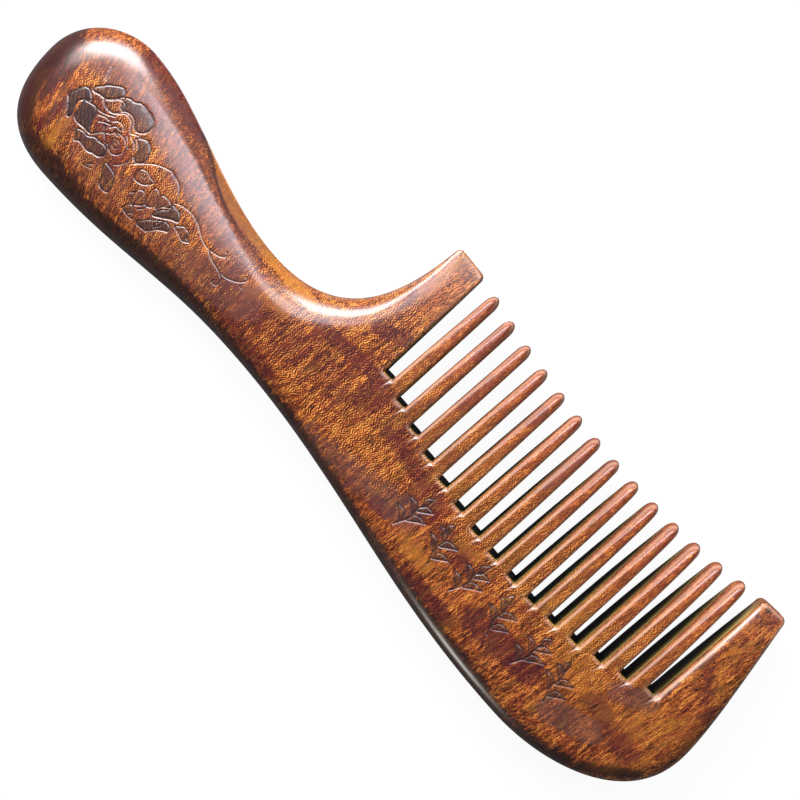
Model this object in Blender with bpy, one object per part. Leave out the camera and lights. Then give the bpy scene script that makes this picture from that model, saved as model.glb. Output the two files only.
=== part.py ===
"""A wide-tooth wooden comb with a handle, its inner teeth set into the back one by one.

Metres, +Z up. The comb lies flat: +X runs from the round end of the handle to the far end guard,
+Y points to the tips of the teeth, and the underside is at Z = 0. A "run" is a length along the
comb, measured from the round end, and a "height" is measured across it, from the lowest point of
the spine.
"""

import math

import bmesh
import bpy
from mathutils import Matrix, Vector
from mathutils.geometry import interpolate_bezier

# Board that the handle, the back and the two end guards are cut from
comb_height = 0.0555
board_thickness = 0.011
tip_thickness = 0.0045
taper_start = 0.0275
taper_lines = 5

# Handle. The shares say how far along or across the bulb its end, top and bottom lie
handle_length = 0.08324
bulb_width = 0.0323
bulb_base = 0.00475
bulb_end_share = 0.5635
bulb_top_share = 0.4688
bulb_bottom_share = 0.5337
neck_run = 0.06074
neck_top = 0.0278
waist_run = 0.06724
waist_height = 0.00885

# Back, below the teeth
spine_low_run = 0.15424
far_end_height = 0.0202
root_low_height = 0.0202
root_first_rise = 0.0092
root_last_rise = 0.0059
root_low_share = 0.625

# Inner teeth
tooth_count = 14
tooth_pitch = 0.005555
tooth_root_width = 0.0032
tooth_tip_width = 0.00265
tooth_edge_round = 0.0009
tooth_tip_arch = 0.0022
first_tip_lean = 0.00035
last_tip_lean = -0.0003
tip_low_height = 0.0501
tip_first_rise = 0.005
tip_last_rise = 0.003
tip_low_share = 0.605

# End guards
first_guard_width = 0.008
first_guard_tip_width = 0.0073
first_guard_tip_fall = 0.0004
last_guard_width = 0.0129
last_guard_drop = 0.0019
last_guard_tip_width = 0.0055
last_guard_tip_fall = 0.0005
guard_corner = 0.0012

# Rounded edges of the board: how wide they are at each stretch, and how far they drop at most
bulb_edge = 0.008
neck_edge = 0.0038
spine_edge = 0.0058
guard_tip_edge = 0.0008
gap_edge = 0.0004
edge_drop = 0.004

# Tenons on the teeth, and the mortises that hold them
tenon_length = 0.008
tenon_thickness = 0.005
tenon_shoulder = 0.0005
tenon_corner = 0.0004
fit_clearance = 0.0003
seam_gap = 0.0003
overrun = 0.002

# How far the handles of each curved stretch of the outline reach, as shares of the stretch's chord
bulb_rise_shares = (0.405, 0.373)
bulb_to_neck_shares = (0.3, 0.36)
neck_to_guard_shares = (0.5, 0.4)
guard_to_far_end_shares = (0.315, 0.168)
far_end_to_spine_shares = (0.387, 0.366)
spine_to_waist_shares = (0.395, 0.394)
waist_to_bulb_shares = (0.4, 0.417)
bulb_bottom_shares = (0.435, 0.523)
quarter_round_shares = (0.39, 0.39)
straight_shares = (1 / 3, 1 / 3)

# How finely the round stretches are divided
span_steps = 10
neck_steps = 20
wall_steps = 2
corner_steps = 3
edge_steps = 4
section_steps = 3
flank_steps = 5
arch_steps = 4
tenon_corner_steps = 2
smooth_below_degrees = 35

# Waxed red-brown hardwood: linear colours and roughness of the back and of the teeth
back_colour = (0.33, 0.12, 0.045)
back_roughness = 0.36
tooth_colour = (0.36, 0.14, 0.055)
tooth_roughness = 0.38

bulb_end_height = bulb_base + bulb_width * bulb_end_share
bulb_top_run = bulb_width * bulb_top_share
bulb_bottom_run = bulb_width * bulb_bottom_share
root_gap = tooth_pitch - tooth_root_width
first_wall_run = handle_length + first_guard_width
last_wall_run = first_wall_run + tooth_count * tooth_pitch + root_gap
comb_length = last_wall_run + last_guard_width
last_guard_height = comb_height - last_guard_drop
wall_lean = (tooth_root_width - tooth_tip_width) / 2

UP = Vector((0, 1))
DOWN = Vector((0, -1))
RIGHT = Vector((1, 0))
LEFT = Vector((-1, 0))


def share_of(value, low, high):
    """How far a value lies between two others, kept between 0 and 1."""
    return min(max((value - low) / (high - low), 0.0), 1.0)


def mix(first, last, share):
    return first + (last - first) * share


def dip(run, low_share, low_height, first_rise, last_rise):
    """A shallow curve across the toothed stretch, rising from its lowest point to both walls."""
    low_run = mix(first_wall_run, last_wall_run, low_share)
    if run < low_run:
        return low_height + first_rise * ((low_run - run) / (low_run - first_wall_run)) ** 2
    return low_height + last_rise * ((run - low_run) / (last_wall_run - low_run)) ** 2


def floor_height(gap):
    """Each gap ends square, and the floors of all the gaps follow a shallow curve."""
    middle = first_wall_run + gap * tooth_pitch + root_gap / 2
    return dip(middle, root_low_share, root_low_height, root_first_rise, root_last_rise)


def root_height(run):
    """Level across each gap, and from one gap's floor to the next under each tooth."""
    pitches = (run - first_wall_run) / tooth_pitch
    gap = min(max(math.floor(pitches), 0), tooth_count)
    past_gap = share_of((pitches - gap) * tooth_pitch, root_gap, tooth_pitch)
    return mix(floor_height(gap), floor_height(gap + 1), past_gap)


def tip_height(run):
    return dip(run, tip_low_share, tip_low_height, tip_first_rise, tip_last_rise)


def thickness_at(run, height):
    """The board keeps its thickness up to the roots of the teeth and thins towards their tips."""
    towards_tip = share_of(height, taper_start, comb_height) ** 2
    past_neck = share_of(run, neck_run, handle_length)
    return mix(board_thickness, tip_thickness, towards_tip * past_neck)


def place(run, height, z):
    """A point in the part's own frame."""
    return Vector((run - comb_length / 2, height - comb_height / 2, z))


def span(start, start_way, end, end_way, shares, edges, steps=span_steps):
    """One Bezier span of the outline as (run, height, edge width) rows, without its last point."""
    chord = (end - start).length
    knots = (
        start,
        start + start_way.normalized() * chord * shares[0],
        end - end_way.normalized() * chord * shares[1],
        end,
    )
    points = interpolate_bezier(*[knot.to_3d() for knot in knots], steps + 1)
    return [(points[i].x, points[i].y, mix(*edges, i / steps)) for i in range(steps)]


def straight(start, end, edges, steps=1):
    return span(start, end - start, end, end - start, straight_shares, edges, steps)


def rounded_corner(point, way_in, way_out):
    """The small quarter round at a guard's tip, and where it starts and ends."""
    start = point - way_in.normalized() * guard_corner
    end = point + way_out.normalized() * guard_corner
    edges = (guard_tip_edge, guard_tip_edge)
    rows = span(start, way_in, end, way_out, quarter_round_shares, edges, corner_steps)
    return rows, start, end


def handle_rows(bulb_end, first_side_top, first_side_way):
    """Over the top of the handle and up the outer side of the first guard."""
    bulb_top = Vector((bulb_top_run, bulb_base + bulb_width))
    neck = Vector((neck_run, neck_top))
    bulb_edges = (bulb_edge, bulb_edge)
    to_neck_edges = (bulb_edge, neck_edge)
    to_guard_edges = (neck_edge, guard_tip_edge)
    to_guard = (neck, RIGHT, first_side_top, first_side_way, neck_to_guard_shares)
    rows = span(bulb_end, UP, bulb_top, RIGHT, bulb_rise_shares, bulb_edges)
    rows += span(bulb_top, RIGHT, neck, RIGHT, bulb_to_neck_shares, to_neck_edges)
    rows += span(*to_guard, to_guard_edges, neck_steps)
    return rows


def floor_rows():
    """Along the floors of the gaps and over the feet of the teeth, from guard to guard."""
    rows = []
    for gap in range(tooth_count + 1):
        start = first_wall_run + gap * tooth_pitch
        rows += [(run, floor_height(gap), gap_edge) for run in (start, start + root_gap)]
    return rows


def spine_rows(last_side_top, last_side_way, bulb_end):
    """Down the last guard's outer side, back along the spine and round the bottom of the handle."""
    far_end = Vector((comb_length, far_end_height))
    spine_low = Vector((spine_low_run, 0))
    waist = Vector((waist_run, waist_height))
    bulb_low = Vector((bulb_bottom_run, bulb_base))
    from_guard_edges = (guard_tip_edge, spine_edge)
    spine_edges = (spine_edge, spine_edge)
    to_bulb_edges = (spine_edge, bulb_edge)
    bulb_edges = (bulb_edge, bulb_edge)
    from_guard = (last_side_top, last_side_way, far_end, DOWN, guard_to_far_end_shares)
    rows = span(*from_guard, from_guard_edges)
    rows += span(far_end, DOWN, spine_low, LEFT, far_end_to_spine_shares, spine_edges)
    rows += span(spine_low, LEFT, waist, LEFT, spine_to_waist_shares, spine_edges)
    rows += span(waist, LEFT, bulb_low, LEFT, waist_to_bulb_shares, to_bulb_edges)
    rows += span(bulb_low, LEFT, bulb_end, UP, bulb_bottom_shares, bulb_edges)
    return rows


def outline_rows():
    """The whole outline of the board, clockwise from the round end of the handle."""
    bulb_end = Vector((0, bulb_end_height))
    first_right = Vector((first_wall_run - wall_lean, comb_height - first_guard_tip_fall))
    first_left = Vector((first_right.x - first_guard_tip_width, comb_height))
    last_left = Vector((last_wall_run + wall_lean, last_guard_height - last_guard_tip_fall))
    last_right = Vector((last_left.x + last_guard_tip_width, last_guard_height))
    first_foot = Vector((first_wall_run, root_height(first_wall_run)))
    last_foot = Vector((last_wall_run, root_height(last_wall_run)))

    first_side_way = Vector((first_left.x - handle_length, first_guard_width))
    last_side_way = Vector((comb_length - last_right.x, far_end_height - last_right.y))
    first_outer, first_side_top, first_tip_start = rounded_corner(
        first_left, first_side_way, first_right - first_left
    )
    first_inner, first_tip_end, first_wall_top = rounded_corner(
        first_right, first_right - first_left, first_foot - first_right
    )
    last_inner, last_wall_top, last_tip_start = rounded_corner(
        last_left, last_left - last_foot, last_right - last_left
    )
    last_outer, last_tip_end, last_side_top = rounded_corner(
        last_right, last_right - last_left, last_side_way
    )
    tip_edges = (guard_tip_edge, guard_tip_edge)

    rows = handle_rows(bulb_end, first_side_top, first_side_way)
    rows += first_outer
    rows += straight(first_tip_start, first_tip_end, tip_edges)
    rows += first_inner
    rows += straight(first_wall_top, first_foot, (guard_tip_edge, gap_edge), wall_steps)
    rows += floor_rows()[:-1]
    rows += straight(last_foot, last_wall_top, (gap_edge, guard_tip_edge), wall_steps)
    rows += last_inner
    rows += straight(last_tip_start, last_tip_end, tip_edges)
    rows += last_outer
    rows += spine_rows(last_side_top, last_side_way, bulb_end)
    return rows


def inward_ways(rows):
    """At each point of the clockwise outline, the way in, mitred where two sides meet."""
    ways = []
    for i in range(len(rows)):
        before, here, after = (Vector(rows[j % len(rows)][:2]) for j in (i - 1, i, i + 1))
        first = (here - before).normalized()
        second = (after - here).normalized()
        sides = Vector((first.y, -first.x)), Vector((second.y, -second.x))
        ways.append((sides[0] + sides[1]) / (1 + sides[0].dot(sides[1])))
    return ways


def edge_levels():
    """(side, share of the edge's width taken off, share of its drop left) from underside to top."""
    angles = [math.pi / 2 * i / edge_steps for i in range(edge_steps + 1)]
    upper = [(1, 1 - math.cos(angle), 1 - math.sin(angle)) for angle in angles]
    lower = [(-1, inset, drop) for _, inset, drop in reversed(upper)]
    return lower + upper


def board_mesh():
    """The board: rings of its outline from the underside to the top, thinned towards the tips."""
    rows = outline_rows()
    ways = inward_ways(rows)
    bm = bmesh.new()
    rings = []
    for side, inset, drop in edge_levels():
        ring = []
        for (run, height, edge), way in zip(rows, ways):
            z = side * (board_thickness / 2 - min(edge, edge_drop) * drop)
            inner = Vector((run, height)) + way * edge * inset
            ring.append(bm.verts.new((*inner, z)))
        rings.append(ring)
    for lower, upper in zip(rings, rings[1:]):
        for i in range(len(rows)):
            bm.faces.new((lower[i - 1], lower[i], upper[i], upper[i - 1]))
    bm.faces.new(rings[0])
    bm.faces.new(rings[-1])
    for i in range(taper_lines):
        line = mix(taper_start, comb_height, i / taper_lines)
        geometry = bm.verts[:] + bm.edges[:] + bm.faces[:]
        bmesh.ops.bisect_plane(bm, geom=geometry, plane_co=(0, line, 0), plane_no=UP.to_3d())
    for vert in bm.verts:
        run, height, z = vert.co
        thinned = thickness_at(run, height) / board_thickness
        vert.co = place(run, height, board_thickness / 2 + z * thinned)
    bmesh.ops.recalc_face_normals(bm, faces=bm.faces[:])
    return finished_mesh("comb_back", bm)


def section(bm, centre_run, height, lean, width, thickness, edge):
    """One cross-section of a tooth, a rounded rectangle. lean tips it to follow the gap floor."""
    ring = []
    for quarter in range(4):
        x_side = (1, -1, -1, 1)[quarter]
        z_side = (1, 1, -1, -1)[quarter]
        for i in range(section_steps + 1):
            angle = math.pi / 2 * (quarter + i / section_steps)
            x = x_side * (width / 2 - edge) + edge * math.cos(angle)
            z = z_side * (thickness / 2 - edge) + edge * math.sin(angle)
            point = place(centre_run + x, height + lean * x, board_thickness / 2 + z)
            ring.append(bm.verts.new(point))
    return ring


def tooth_mesh(name, root_run, tip_run):
    """A tooth above its shoulder: its flanks lean in, it thins, and its tip is a full round."""
    half = tooth_root_width / 2
    root_lean = (root_height(root_run + half) - root_height(root_run - half)) / tooth_root_width
    root = root_height(root_run) + seam_gap * math.hypot(1, root_lean)
    tip = tip_height(tip_run)
    arch_start = tip - tooth_tip_arch
    bm = bmesh.new()
    rings = []
    for i in range(flank_steps + 1):
        share = i / flank_steps
        height = mix(root, arch_start, share)
        width = mix(tooth_root_width, tooth_tip_width, share)
        edge = mix(gap_edge, tooth_edge_round, min(1.0, share * flank_steps))
        lean = root_lean if i == 0 else 0
        centre_run = mix(root_run, tip_run, share)
        thickness = thickness_at(centre_run, height)
        rings.append(section(bm, centre_run, height, lean, width, thickness, edge))
    for i in range(1, arch_steps + 1):
        angle = math.pi / 2 * i / (arch_steps + 1 / 2)
        height = arch_start + tooth_tip_arch * math.sin(angle)
        width = tooth_tip_width * math.cos(angle)
        drawn_in = 2 * tooth_edge_round * (1 - math.cos(angle))
        thickness = thickness_at(tip_run, height) - drawn_in
        edge = tooth_edge_round * math.cos(angle)
        rings.append(section(bm, tip_run, height, 0, width, thickness, edge))
    count = len(rings[0])
    for lower, upper in zip(rings, rings[1:]):
        for i in range(count):
            bm.faces.new((lower[i - 1], lower[i], upper[i], upper[i - 1]))
    bm.faces.new(rings[0])
    bm.faces.new(rings[-1])
    bmesh.ops.recalc_face_normals(bm, faces=bm.faces[:])
    return finished_mesh(name, bm)


def block_mesh(name, centre_run, low, high, width, thickness, corner):
    """A block that lies along +Y with its four long edges rounded, for a tenon or a mortise."""
    bm = bmesh.new()
    bmesh.ops.create_cube(bm, size=1)
    size = Matrix.Diagonal((width, high - low, thickness, 1))
    bmesh.ops.transform(bm, matrix=size, verts=bm.verts)
    long_edges = [edge for edge in bm.edges if edge.verts[0].co.y * edge.verts[1].co.y < 0]
    bmesh.ops.bevel(
        bm, geom=long_edges, offset=corner, segments=tenon_corner_steps, profile=0.5, affect="EDGES"
    )
    centre = place(centre_run, (low + high) / 2, board_thickness / 2)
    bmesh.ops.translate(bm, vec=centre, verts=bm.verts)
    return finished_mesh(name, bm)


def finished_mesh(name, bm):
    mesh = bpy.data.meshes.new(name)
    bm.to_mesh(mesh)
    bm.free()
    mesh.shade_smooth()
    mesh.set_sharp_from_angle(angle=math.radians(smooth_below_degrees))
    return mesh


def wood(name, colour, roughness):
    """A waxed hardwood surface."""
    material = bpy.data.materials.new(name)
    material.use_nodes = True
    shader = material.node_tree.nodes["Principled BSDF"]
    shader.inputs["Base Color"].default_value = (*colour, 1)
    shader.inputs["Roughness"].default_value = roughness
    shader.inputs["Metallic"].default_value = 0
    material.diffuse_color = (*colour, 1)
    return material


def add_object(mesh, collection, material=None):
    obj = bpy.data.objects.new(mesh.name, mesh)
    collection.objects.link(obj)
    if material:
        mesh.materials.append(material)
    else:
        obj.hide_render = True
        obj.display_type = "WIRE"
    return obj


def add_boolean(obj, name, operation, operand):
    modifier = obj.modifiers.new(name, "BOOLEAN")
    modifier.operation = operation
    modifier.solver = "EXACT"
    if isinstance(operand, bpy.types.Collection):
        modifier.operand_type = "COLLECTION"
        modifier.collection = operand
    else:
        modifier.object = operand


def new_collection(name, parent):
    collection = bpy.data.collections.new(name)
    parent.children.link(collection)
    return collection


def build():
    for obj in list(bpy.data.objects):
        bpy.data.objects.remove(obj)
    scene_collection = bpy.context.scene.collection
    parts = new_collection("wide_tooth_comb", scene_collection)
    helpers = new_collection("cutters", scene_collection)
    mortises = new_collection("mortise_cutters", helpers)
    tenons = new_collection("tenon_blocks", helpers)

    back_wood = wood("back_wood", back_colour, back_roughness)
    back = add_object(board_mesh(), parts, back_wood)
    for i in range(tooth_count):
        name = f"tooth_{i + 1:02d}"
        centre_run = first_wall_run + root_gap + tooth_root_width / 2 + i * tooth_pitch
        root = root_height(centre_run)
        tenon_width = tooth_root_width - 2 * tenon_shoulder
        tooth_wood = wood(f"{name}_wood", tooth_colour, tooth_roughness)
        tip_run = centre_run + mix(first_tip_lean, last_tip_lean, i / (tooth_count - 1))
        tooth = add_object(tooth_mesh(name, centre_run, tip_run), parts, tooth_wood)
        tenon = block_mesh(
            f"{name}_tenon",
            centre_run,
            root - tenon_length,
            root + overrun,
            tenon_width,
            tenon_thickness,
            tenon_corner,
        )
        mortise = block_mesh(
            f"{name}_mortise",
            centre_run,
            root - tenon_length - fit_clearance,
            root + overrun,
            tenon_width + 2 * fit_clearance,
            tenon_thickness + 2 * fit_clearance,
            tenon_corner + fit_clearance,
        )
        add_boolean(tooth, "tenon", "UNION", add_object(tenon, tenons))
        add_object(mortise, mortises)
    add_boolean(back, "mortises", "DIFFERENCE", mortises)


build()
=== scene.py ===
# %% [markdown]
# # A wide-tooth wooden comb
#
# The comb lies flat on a pale floor and is seen from above. It is made of one board (handle, back
# and the two wide end guards) and 14 inner teeth. The frame below loads the solids that the comb
# was built with. They give every place and size, and the pieces made here dress them with the
# finer forms and the finish that a close look shows.

# %% Load the frame
import math
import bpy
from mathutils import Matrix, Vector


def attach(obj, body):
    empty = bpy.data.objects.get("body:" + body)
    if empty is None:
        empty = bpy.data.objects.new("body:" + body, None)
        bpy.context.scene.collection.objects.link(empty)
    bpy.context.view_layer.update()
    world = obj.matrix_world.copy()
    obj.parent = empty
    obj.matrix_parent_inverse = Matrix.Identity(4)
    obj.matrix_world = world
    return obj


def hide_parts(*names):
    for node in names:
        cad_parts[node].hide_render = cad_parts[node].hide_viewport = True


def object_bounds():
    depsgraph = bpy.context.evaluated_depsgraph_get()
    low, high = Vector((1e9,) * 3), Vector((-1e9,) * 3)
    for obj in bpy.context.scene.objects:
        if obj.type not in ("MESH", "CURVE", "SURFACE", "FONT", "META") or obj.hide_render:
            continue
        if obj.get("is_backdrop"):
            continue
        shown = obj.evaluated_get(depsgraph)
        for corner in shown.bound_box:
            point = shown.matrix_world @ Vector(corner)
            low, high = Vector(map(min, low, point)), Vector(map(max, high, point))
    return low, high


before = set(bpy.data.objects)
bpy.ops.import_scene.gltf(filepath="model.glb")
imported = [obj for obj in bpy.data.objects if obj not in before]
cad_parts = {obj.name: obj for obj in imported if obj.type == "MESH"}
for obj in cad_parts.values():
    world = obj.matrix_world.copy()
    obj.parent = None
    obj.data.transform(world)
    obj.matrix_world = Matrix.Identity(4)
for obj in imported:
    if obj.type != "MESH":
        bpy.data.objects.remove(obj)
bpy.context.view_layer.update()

from types import SimpleNamespace

import bpy
import numpy as np
from mathutils import Vector
from mathutils.geometry import delaunay_2d_cdt
from mathutils.kdtree import KDTree

print("nodes:", len(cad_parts))

# %% [markdown]
# ## Sizes
#
# On the real comb every edge follows one outline, sawn from a board 11 mm thick. The sizes are
# those of the solids, in millimetres, so that the fine surface lies where the plain one does. A
# "run" is a length along the comb from the round end of the handle, and a "height" is measured
# across it from the lowest point of the spine.

# %% Sizes of the board, the handle and the back
comb_height = 55.5
board_thickness = 11.0
tip_thickness = 4.5
taper_start = 27.5
handle_length = 83.24
bulb_width = 32.3
bulb_base = 4.75
bulb_end_height = bulb_base + bulb_width * 0.5635
bulb_top_run = bulb_width * 0.4688
bulb_bottom_run = bulb_width * 0.5337
neck_run, neck_top = 60.74, 27.8
waist_run, waist_height = 67.24, 8.85
spine_low_run = 154.24
far_end_height = 20.2
root_low_height, root_first_rise, root_last_rise, root_low_share = 20.2, 9.2, 5.9, 0.625
print("board in mm:", comb_height, "high and", board_thickness, "thick, handle:", handle_length)

# %% Sizes of the teeth and the end guards
tooth_count = 14
tooth_pitch = 5.555
tooth_root_width, tooth_tip_width, tooth_tip_arch = 3.2, 2.65, 2.2
first_tip_lean, last_tip_lean = 0.35, -0.3
tip_low_height, tip_first_rise, tip_last_rise, tip_low_share = 50.1, 5.0, 3.0, 0.605
first_guard_width, first_guard_tip_width, first_guard_tip_fall = 8.0, 7.3, 0.4
last_guard_width, last_guard_tip_width, last_guard_tip_fall = 12.9, 5.5, 0.5
last_guard_height = comb_height - 1.9
guard_corner = 1.2
root_gap = tooth_pitch - tooth_root_width
first_wall_run = handle_length + first_guard_width
last_wall_run = first_wall_run + tooth_count * tooth_pitch + root_gap
comb_length = last_wall_run + last_guard_width
wall_lean = (tooth_root_width - tooth_tip_width) / 2
print("length", round(comb_length, 2), "gap at the roots", round(root_gap, 2))

# %% [markdown]
# ## Rounded edges
#
# The maker rounds every edge by hand, and not alike. The bulb and the spine are rounded broadly, the
# neck keeps a crisp crest above a scooped side, and the teeth are rounded most on the side that
# leads through the hair, until their tips are fully round. A bevel on a finished mesh would be
# alike everywhere, so the rounding is kept with the outline instead. Each edge is four numbers: how
# wide it is, how far it drops, its fullness, where 2 is an ellipse and less is closer to a plain
# bevel, and how far it is worn pale. The pale wear is partly a painted highlight: it is strongest on
# the edges that face the window lamp.

# %% Rounded edges: width, drop, fullness, and wear, which is partly a painted highlight
bulb_round = (8.0, 3.6, 2.0, 0.0)
crest_round = (2.9, 4.0, 1.35, 0.0)
neck_round = (7.5, 4.6, 2.0, 0.1)
guard_side_round = (2.6, 2.8, 2.0, 0.4)
spine_round = (5.8, 4.0, 2.0, 0.0)
guard_tip_round = (1.0, 0.9, 2.0, 0.5)
floor_round = (0.4, 0.4, 2.0, 0.3)
# the last guard's inner edge and the leading edges of the teeth face the window lamp; their high last
# number paints a pale highlight there as well as wear
guard_wall_round = (1.5, 1.7, 2.0, 1.0)
leading_root_round, leading_tip_round = (0.85, 1.2, 2.0, 0.6), (1.3, 5.3, 2.0, 0.7)
trailing_root_round, trailing_tip_round = (0.55, 0.8, 2.0, 0.1), (1.3, 5.3, 2.0, 0.3)
print("widest and narrowest edge in mm:", bulb_round[0], floor_round[0])

# %% How the rounding changes along the handle, by run, and up the first guard, by height
before_crest_round = (5.2, 3.9, 1.7, 0.0)
after_crest_round = (4.2, 4.2, 1.7, 0.0)
past_neck_round = (5.5, 4.2, 2.0, 0.2)
handle_runs = (12.0, 24.0, 38.0, 50.0, 58.0, 69.0)
handle_rounds = (bulb_round, before_crest_round, crest_round, crest_round, after_crest_round, neck_round)
guard_start_run = 72.0
guard_heights = (neck_top, 36.0, 44.0, comb_height)
guard_rounds = (neck_round, past_neck_round, guard_side_round, guard_tip_round)
print("roundings along the handle:", len(handle_rounds), "and up the guard:", len(guard_rounds))

# %% [markdown]
# ## One outline round the whole comb
#
# A sawn comb is one line: over the handle, up the first guard, in and out of every gap, up the
# last guard and back along the spine. It could be traced by hand, but curves between a few named
# points keep it smooth and easy to change. Each point also carries the four numbers of its rounded
# edge, from a broad sanded bulb to the crisp end of a saw cut.


# %% Helpers for lines
def mix(first, last, share):
    return first + (last - first) * share


def share_of(value, low, high):
    return np.clip((value - low) / (high - low), 0.0, 1.0)


def dip(run, low_share, low_height, first_rise, last_rise):
    low_run = mix(first_wall_run, last_wall_run, low_share)
    before = first_rise * ((low_run - run) / (low_run - first_wall_run)) ** 2
    after = last_rise * ((run - low_run) / (last_wall_run - low_run)) ** 2
    return low_height + np.where(run < low_run, before, after)


def floor_height(gap):
    """Each gap ends square, and the floors of all the gaps follow a shallow curve."""
    middle = first_wall_run + gap * tooth_pitch + root_gap / 2
    return dip(middle, root_low_share, root_low_height, root_first_rise, root_last_rise)


def root_height(run):
    """Level across each gap, and from one gap's floor to the next under each tooth."""
    pitches = (np.asarray(run) - first_wall_run) / tooth_pitch
    gap = np.clip(np.floor(pitches + 1e-9), 0, tooth_count)
    past_gap = share_of((pitches - gap) * tooth_pitch, root_gap, tooth_pitch)
    return mix(floor_height(gap), floor_height(gap + 1), past_gap)


def tip_height(run):
    return dip(run, tip_low_share, tip_low_height, tip_first_rise, tip_last_rise)


def stretch(start, start_way, end, end_way, shares, rounds, spacing=0.45, ease=1.0):
    """One curved stretch as rows of run, height and the edge's four numbers, without its end."""
    start, start_way, end, end_way = (np.array(v, float) for v in (start, start_way, end, end_way))
    chord = np.linalg.norm(end - start)
    count = max(2, round(chord / spacing))
    t = np.arange(count)[:, None] / count
    first = start + start_way / np.linalg.norm(start_way) * chord * shares[0]
    second = end - end_way / np.linalg.norm(end_way) * chord * shares[1]
    back = 1 - t
    points = back**3 * start + 3 * back**2 * t * first + 3 * back * t**2 * second + t**3 * end
    return np.hstack([points, mix(np.array(rounds[0]), np.array(rounds[1]), t**ease)])


def straight(start, end, rounds, spacing=0.45, ease=1.0):
    way = np.subtract(end, start)
    return stretch(start, way, end, way, (1 / 3, 1 / 3), rounds, spacing, ease)


def corner(point, way_in, way_out):
    """A small quarter round at a guard's tip, and where it starts and ends."""
    start = point - way_in / np.linalg.norm(way_in) * guard_corner
    end = point + way_out / np.linalg.norm(way_out) * guard_corner
    rounds = (guard_tip_round, guard_tip_round)
    return stretch(start, way_in, end, way_out, (0.39, 0.39), rounds, 0.2), start, end


print("floors of the first and last gap:", floor_height(0).round(1), floor_height(tooth_count).round(1))

# %% The teeth and the gaps between them, as a stretch of the outline
floor_steps, arch_steps = 6, 14


def floor_points(gap):
    runs = first_wall_run + gap * tooth_pitch + np.linspace(0, root_gap, floor_steps + 1)[:-1]
    heights = np.full(floor_steps, float(floor_height(gap)))
    return np.hstack([np.stack([runs, heights], axis=1), np.tile(floor_round, (floor_steps, 1))])


def tooth_centre(k):
    return first_wall_run + root_gap + tooth_root_width / 2 + k * tooth_pitch


def tooth_points(k):
    centre = tooth_centre(k)
    left, right = centre - tooth_root_width / 2, centre + tooth_root_width / 2
    tip = centre + mix(first_tip_lean, last_tip_lean, k / (tooth_count - 1))
    arch_start = float(tip_height(tip)) - tooth_tip_arch
    half = tooth_tip_width / 2
    angles = np.linspace(math.pi, 0, arch_steps + 1)[:-1]
    arch = np.stack([tip + half * np.cos(angles), arch_start + tooth_tip_arch * np.sin(angles)], axis=1)
    leading = (leading_root_round, leading_tip_round)
    trailing = (trailing_tip_round, trailing_root_round)
    up = straight((left, float(floor_height(k))), (tip - half, arch_start), leading, ease=2.5)
    down = straight((tip + half, arch_start), (right, float(floor_height(k + 1))), trailing, ease=0.4)
    return np.vstack([up, np.hstack([arch, np.tile(leading_tip_round, (arch_steps, 1))]), down])


print("points on the first tooth:", len(tooth_points(0)))

# %% The points that the outline passes through, and the ways it runs there
UP, DOWN, RIGHT, LEFT = (0, 1), (0, -1), (1, 0), (-1, 0)
bulb_end = (0, bulb_end_height)
bulb_top = (bulb_top_run, bulb_base + bulb_width)
bulb_low = (bulb_bottom_run, bulb_base)
neck, waist = (neck_run, neck_top), (waist_run, waist_height)
far_end, spine_low = (comb_length, far_end_height), (spine_low_run, 0)
first_right = np.array([first_wall_run - wall_lean, comb_height - first_guard_tip_fall])
first_left = np.array([first_right[0] - first_guard_tip_width, comb_height])
last_left = np.array([last_wall_run + wall_lean, last_guard_height - last_guard_tip_fall])
last_right = np.array([last_left[0] + last_guard_tip_width, last_guard_height])
first_foot = np.array([first_wall_run, float(root_height(first_wall_run))])
last_foot = np.array([last_wall_run, float(root_height(last_wall_run))])
first_side_way = np.array([first_left[0] - handle_length, first_guard_width])
last_side_way = np.array([comb_length - last_right[0], far_end_height - last_right[1]])
first_tip_way, last_tip_way = first_right - first_left, last_right - last_left
print("tips of the guards start at:", first_left.round(2), last_left.round(2))

# %% Draw the whole outline
first_outer, first_side_top, first_tip_start = corner(first_left, first_side_way, first_tip_way)
first_inner, first_tip_end, first_wall_top = corner(first_right, first_tip_way, first_foot - first_right)
last_inner, last_wall_top, last_tip_start = corner(last_left, last_left - last_foot, last_tip_way)
last_outer, last_tip_end, last_side_top = corner(last_right, last_tip_way, last_side_way)
tip_rounds = (guard_tip_round, guard_tip_round)
bulb_rounds, spine_rounds = (bulb_round, bulb_round), (spine_round, spine_round)

rows = [
    stretch(bulb_end, UP, bulb_top, RIGHT, (0.405, 0.373), bulb_rounds),
    stretch(bulb_top, RIGHT, neck, RIGHT, (0.3, 0.36), (bulb_round, crest_round)),
    stretch(neck, RIGHT, first_side_top, first_side_way, (0.5, 0.4), (neck_round, neck_round)),
    first_outer,
    straight(first_tip_start, first_tip_end, tip_rounds),
    first_inner,
    straight(first_wall_top, first_foot, (guard_tip_round, trailing_root_round)),
]
tooth_ends = []
for k in range(tooth_count):
    rows.append(floor_points(k))
    start = sum(map(len, rows))
    rows.append(tooth_points(k))
    tooth_ends.append((start, sum(map(len, rows))))
rows += [
    floor_points(tooth_count),
    straight(last_foot, last_wall_top, (guard_wall_round, guard_wall_round)),
    last_inner,
    straight(last_tip_start, last_tip_end, tip_rounds),
    last_outer,
    stretch(last_side_top, last_side_way, far_end, DOWN, (0.315, 0.168), (guard_tip_round, spine_round)),
    stretch(far_end, DOWN, spine_low, LEFT, (0.387, 0.366), spine_rounds),
    stretch(spine_low, LEFT, waist, LEFT, (0.395, 0.394), spine_rounds),
    stretch(waist, LEFT, bulb_low, LEFT, (0.4, 0.417), (spine_round, bulb_round)),
    stretch(bulb_low, LEFT, bulb_end, UP, (0.435, 0.523), bulb_rounds),
]
print("stretches of the outline:", len(rows))

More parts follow.
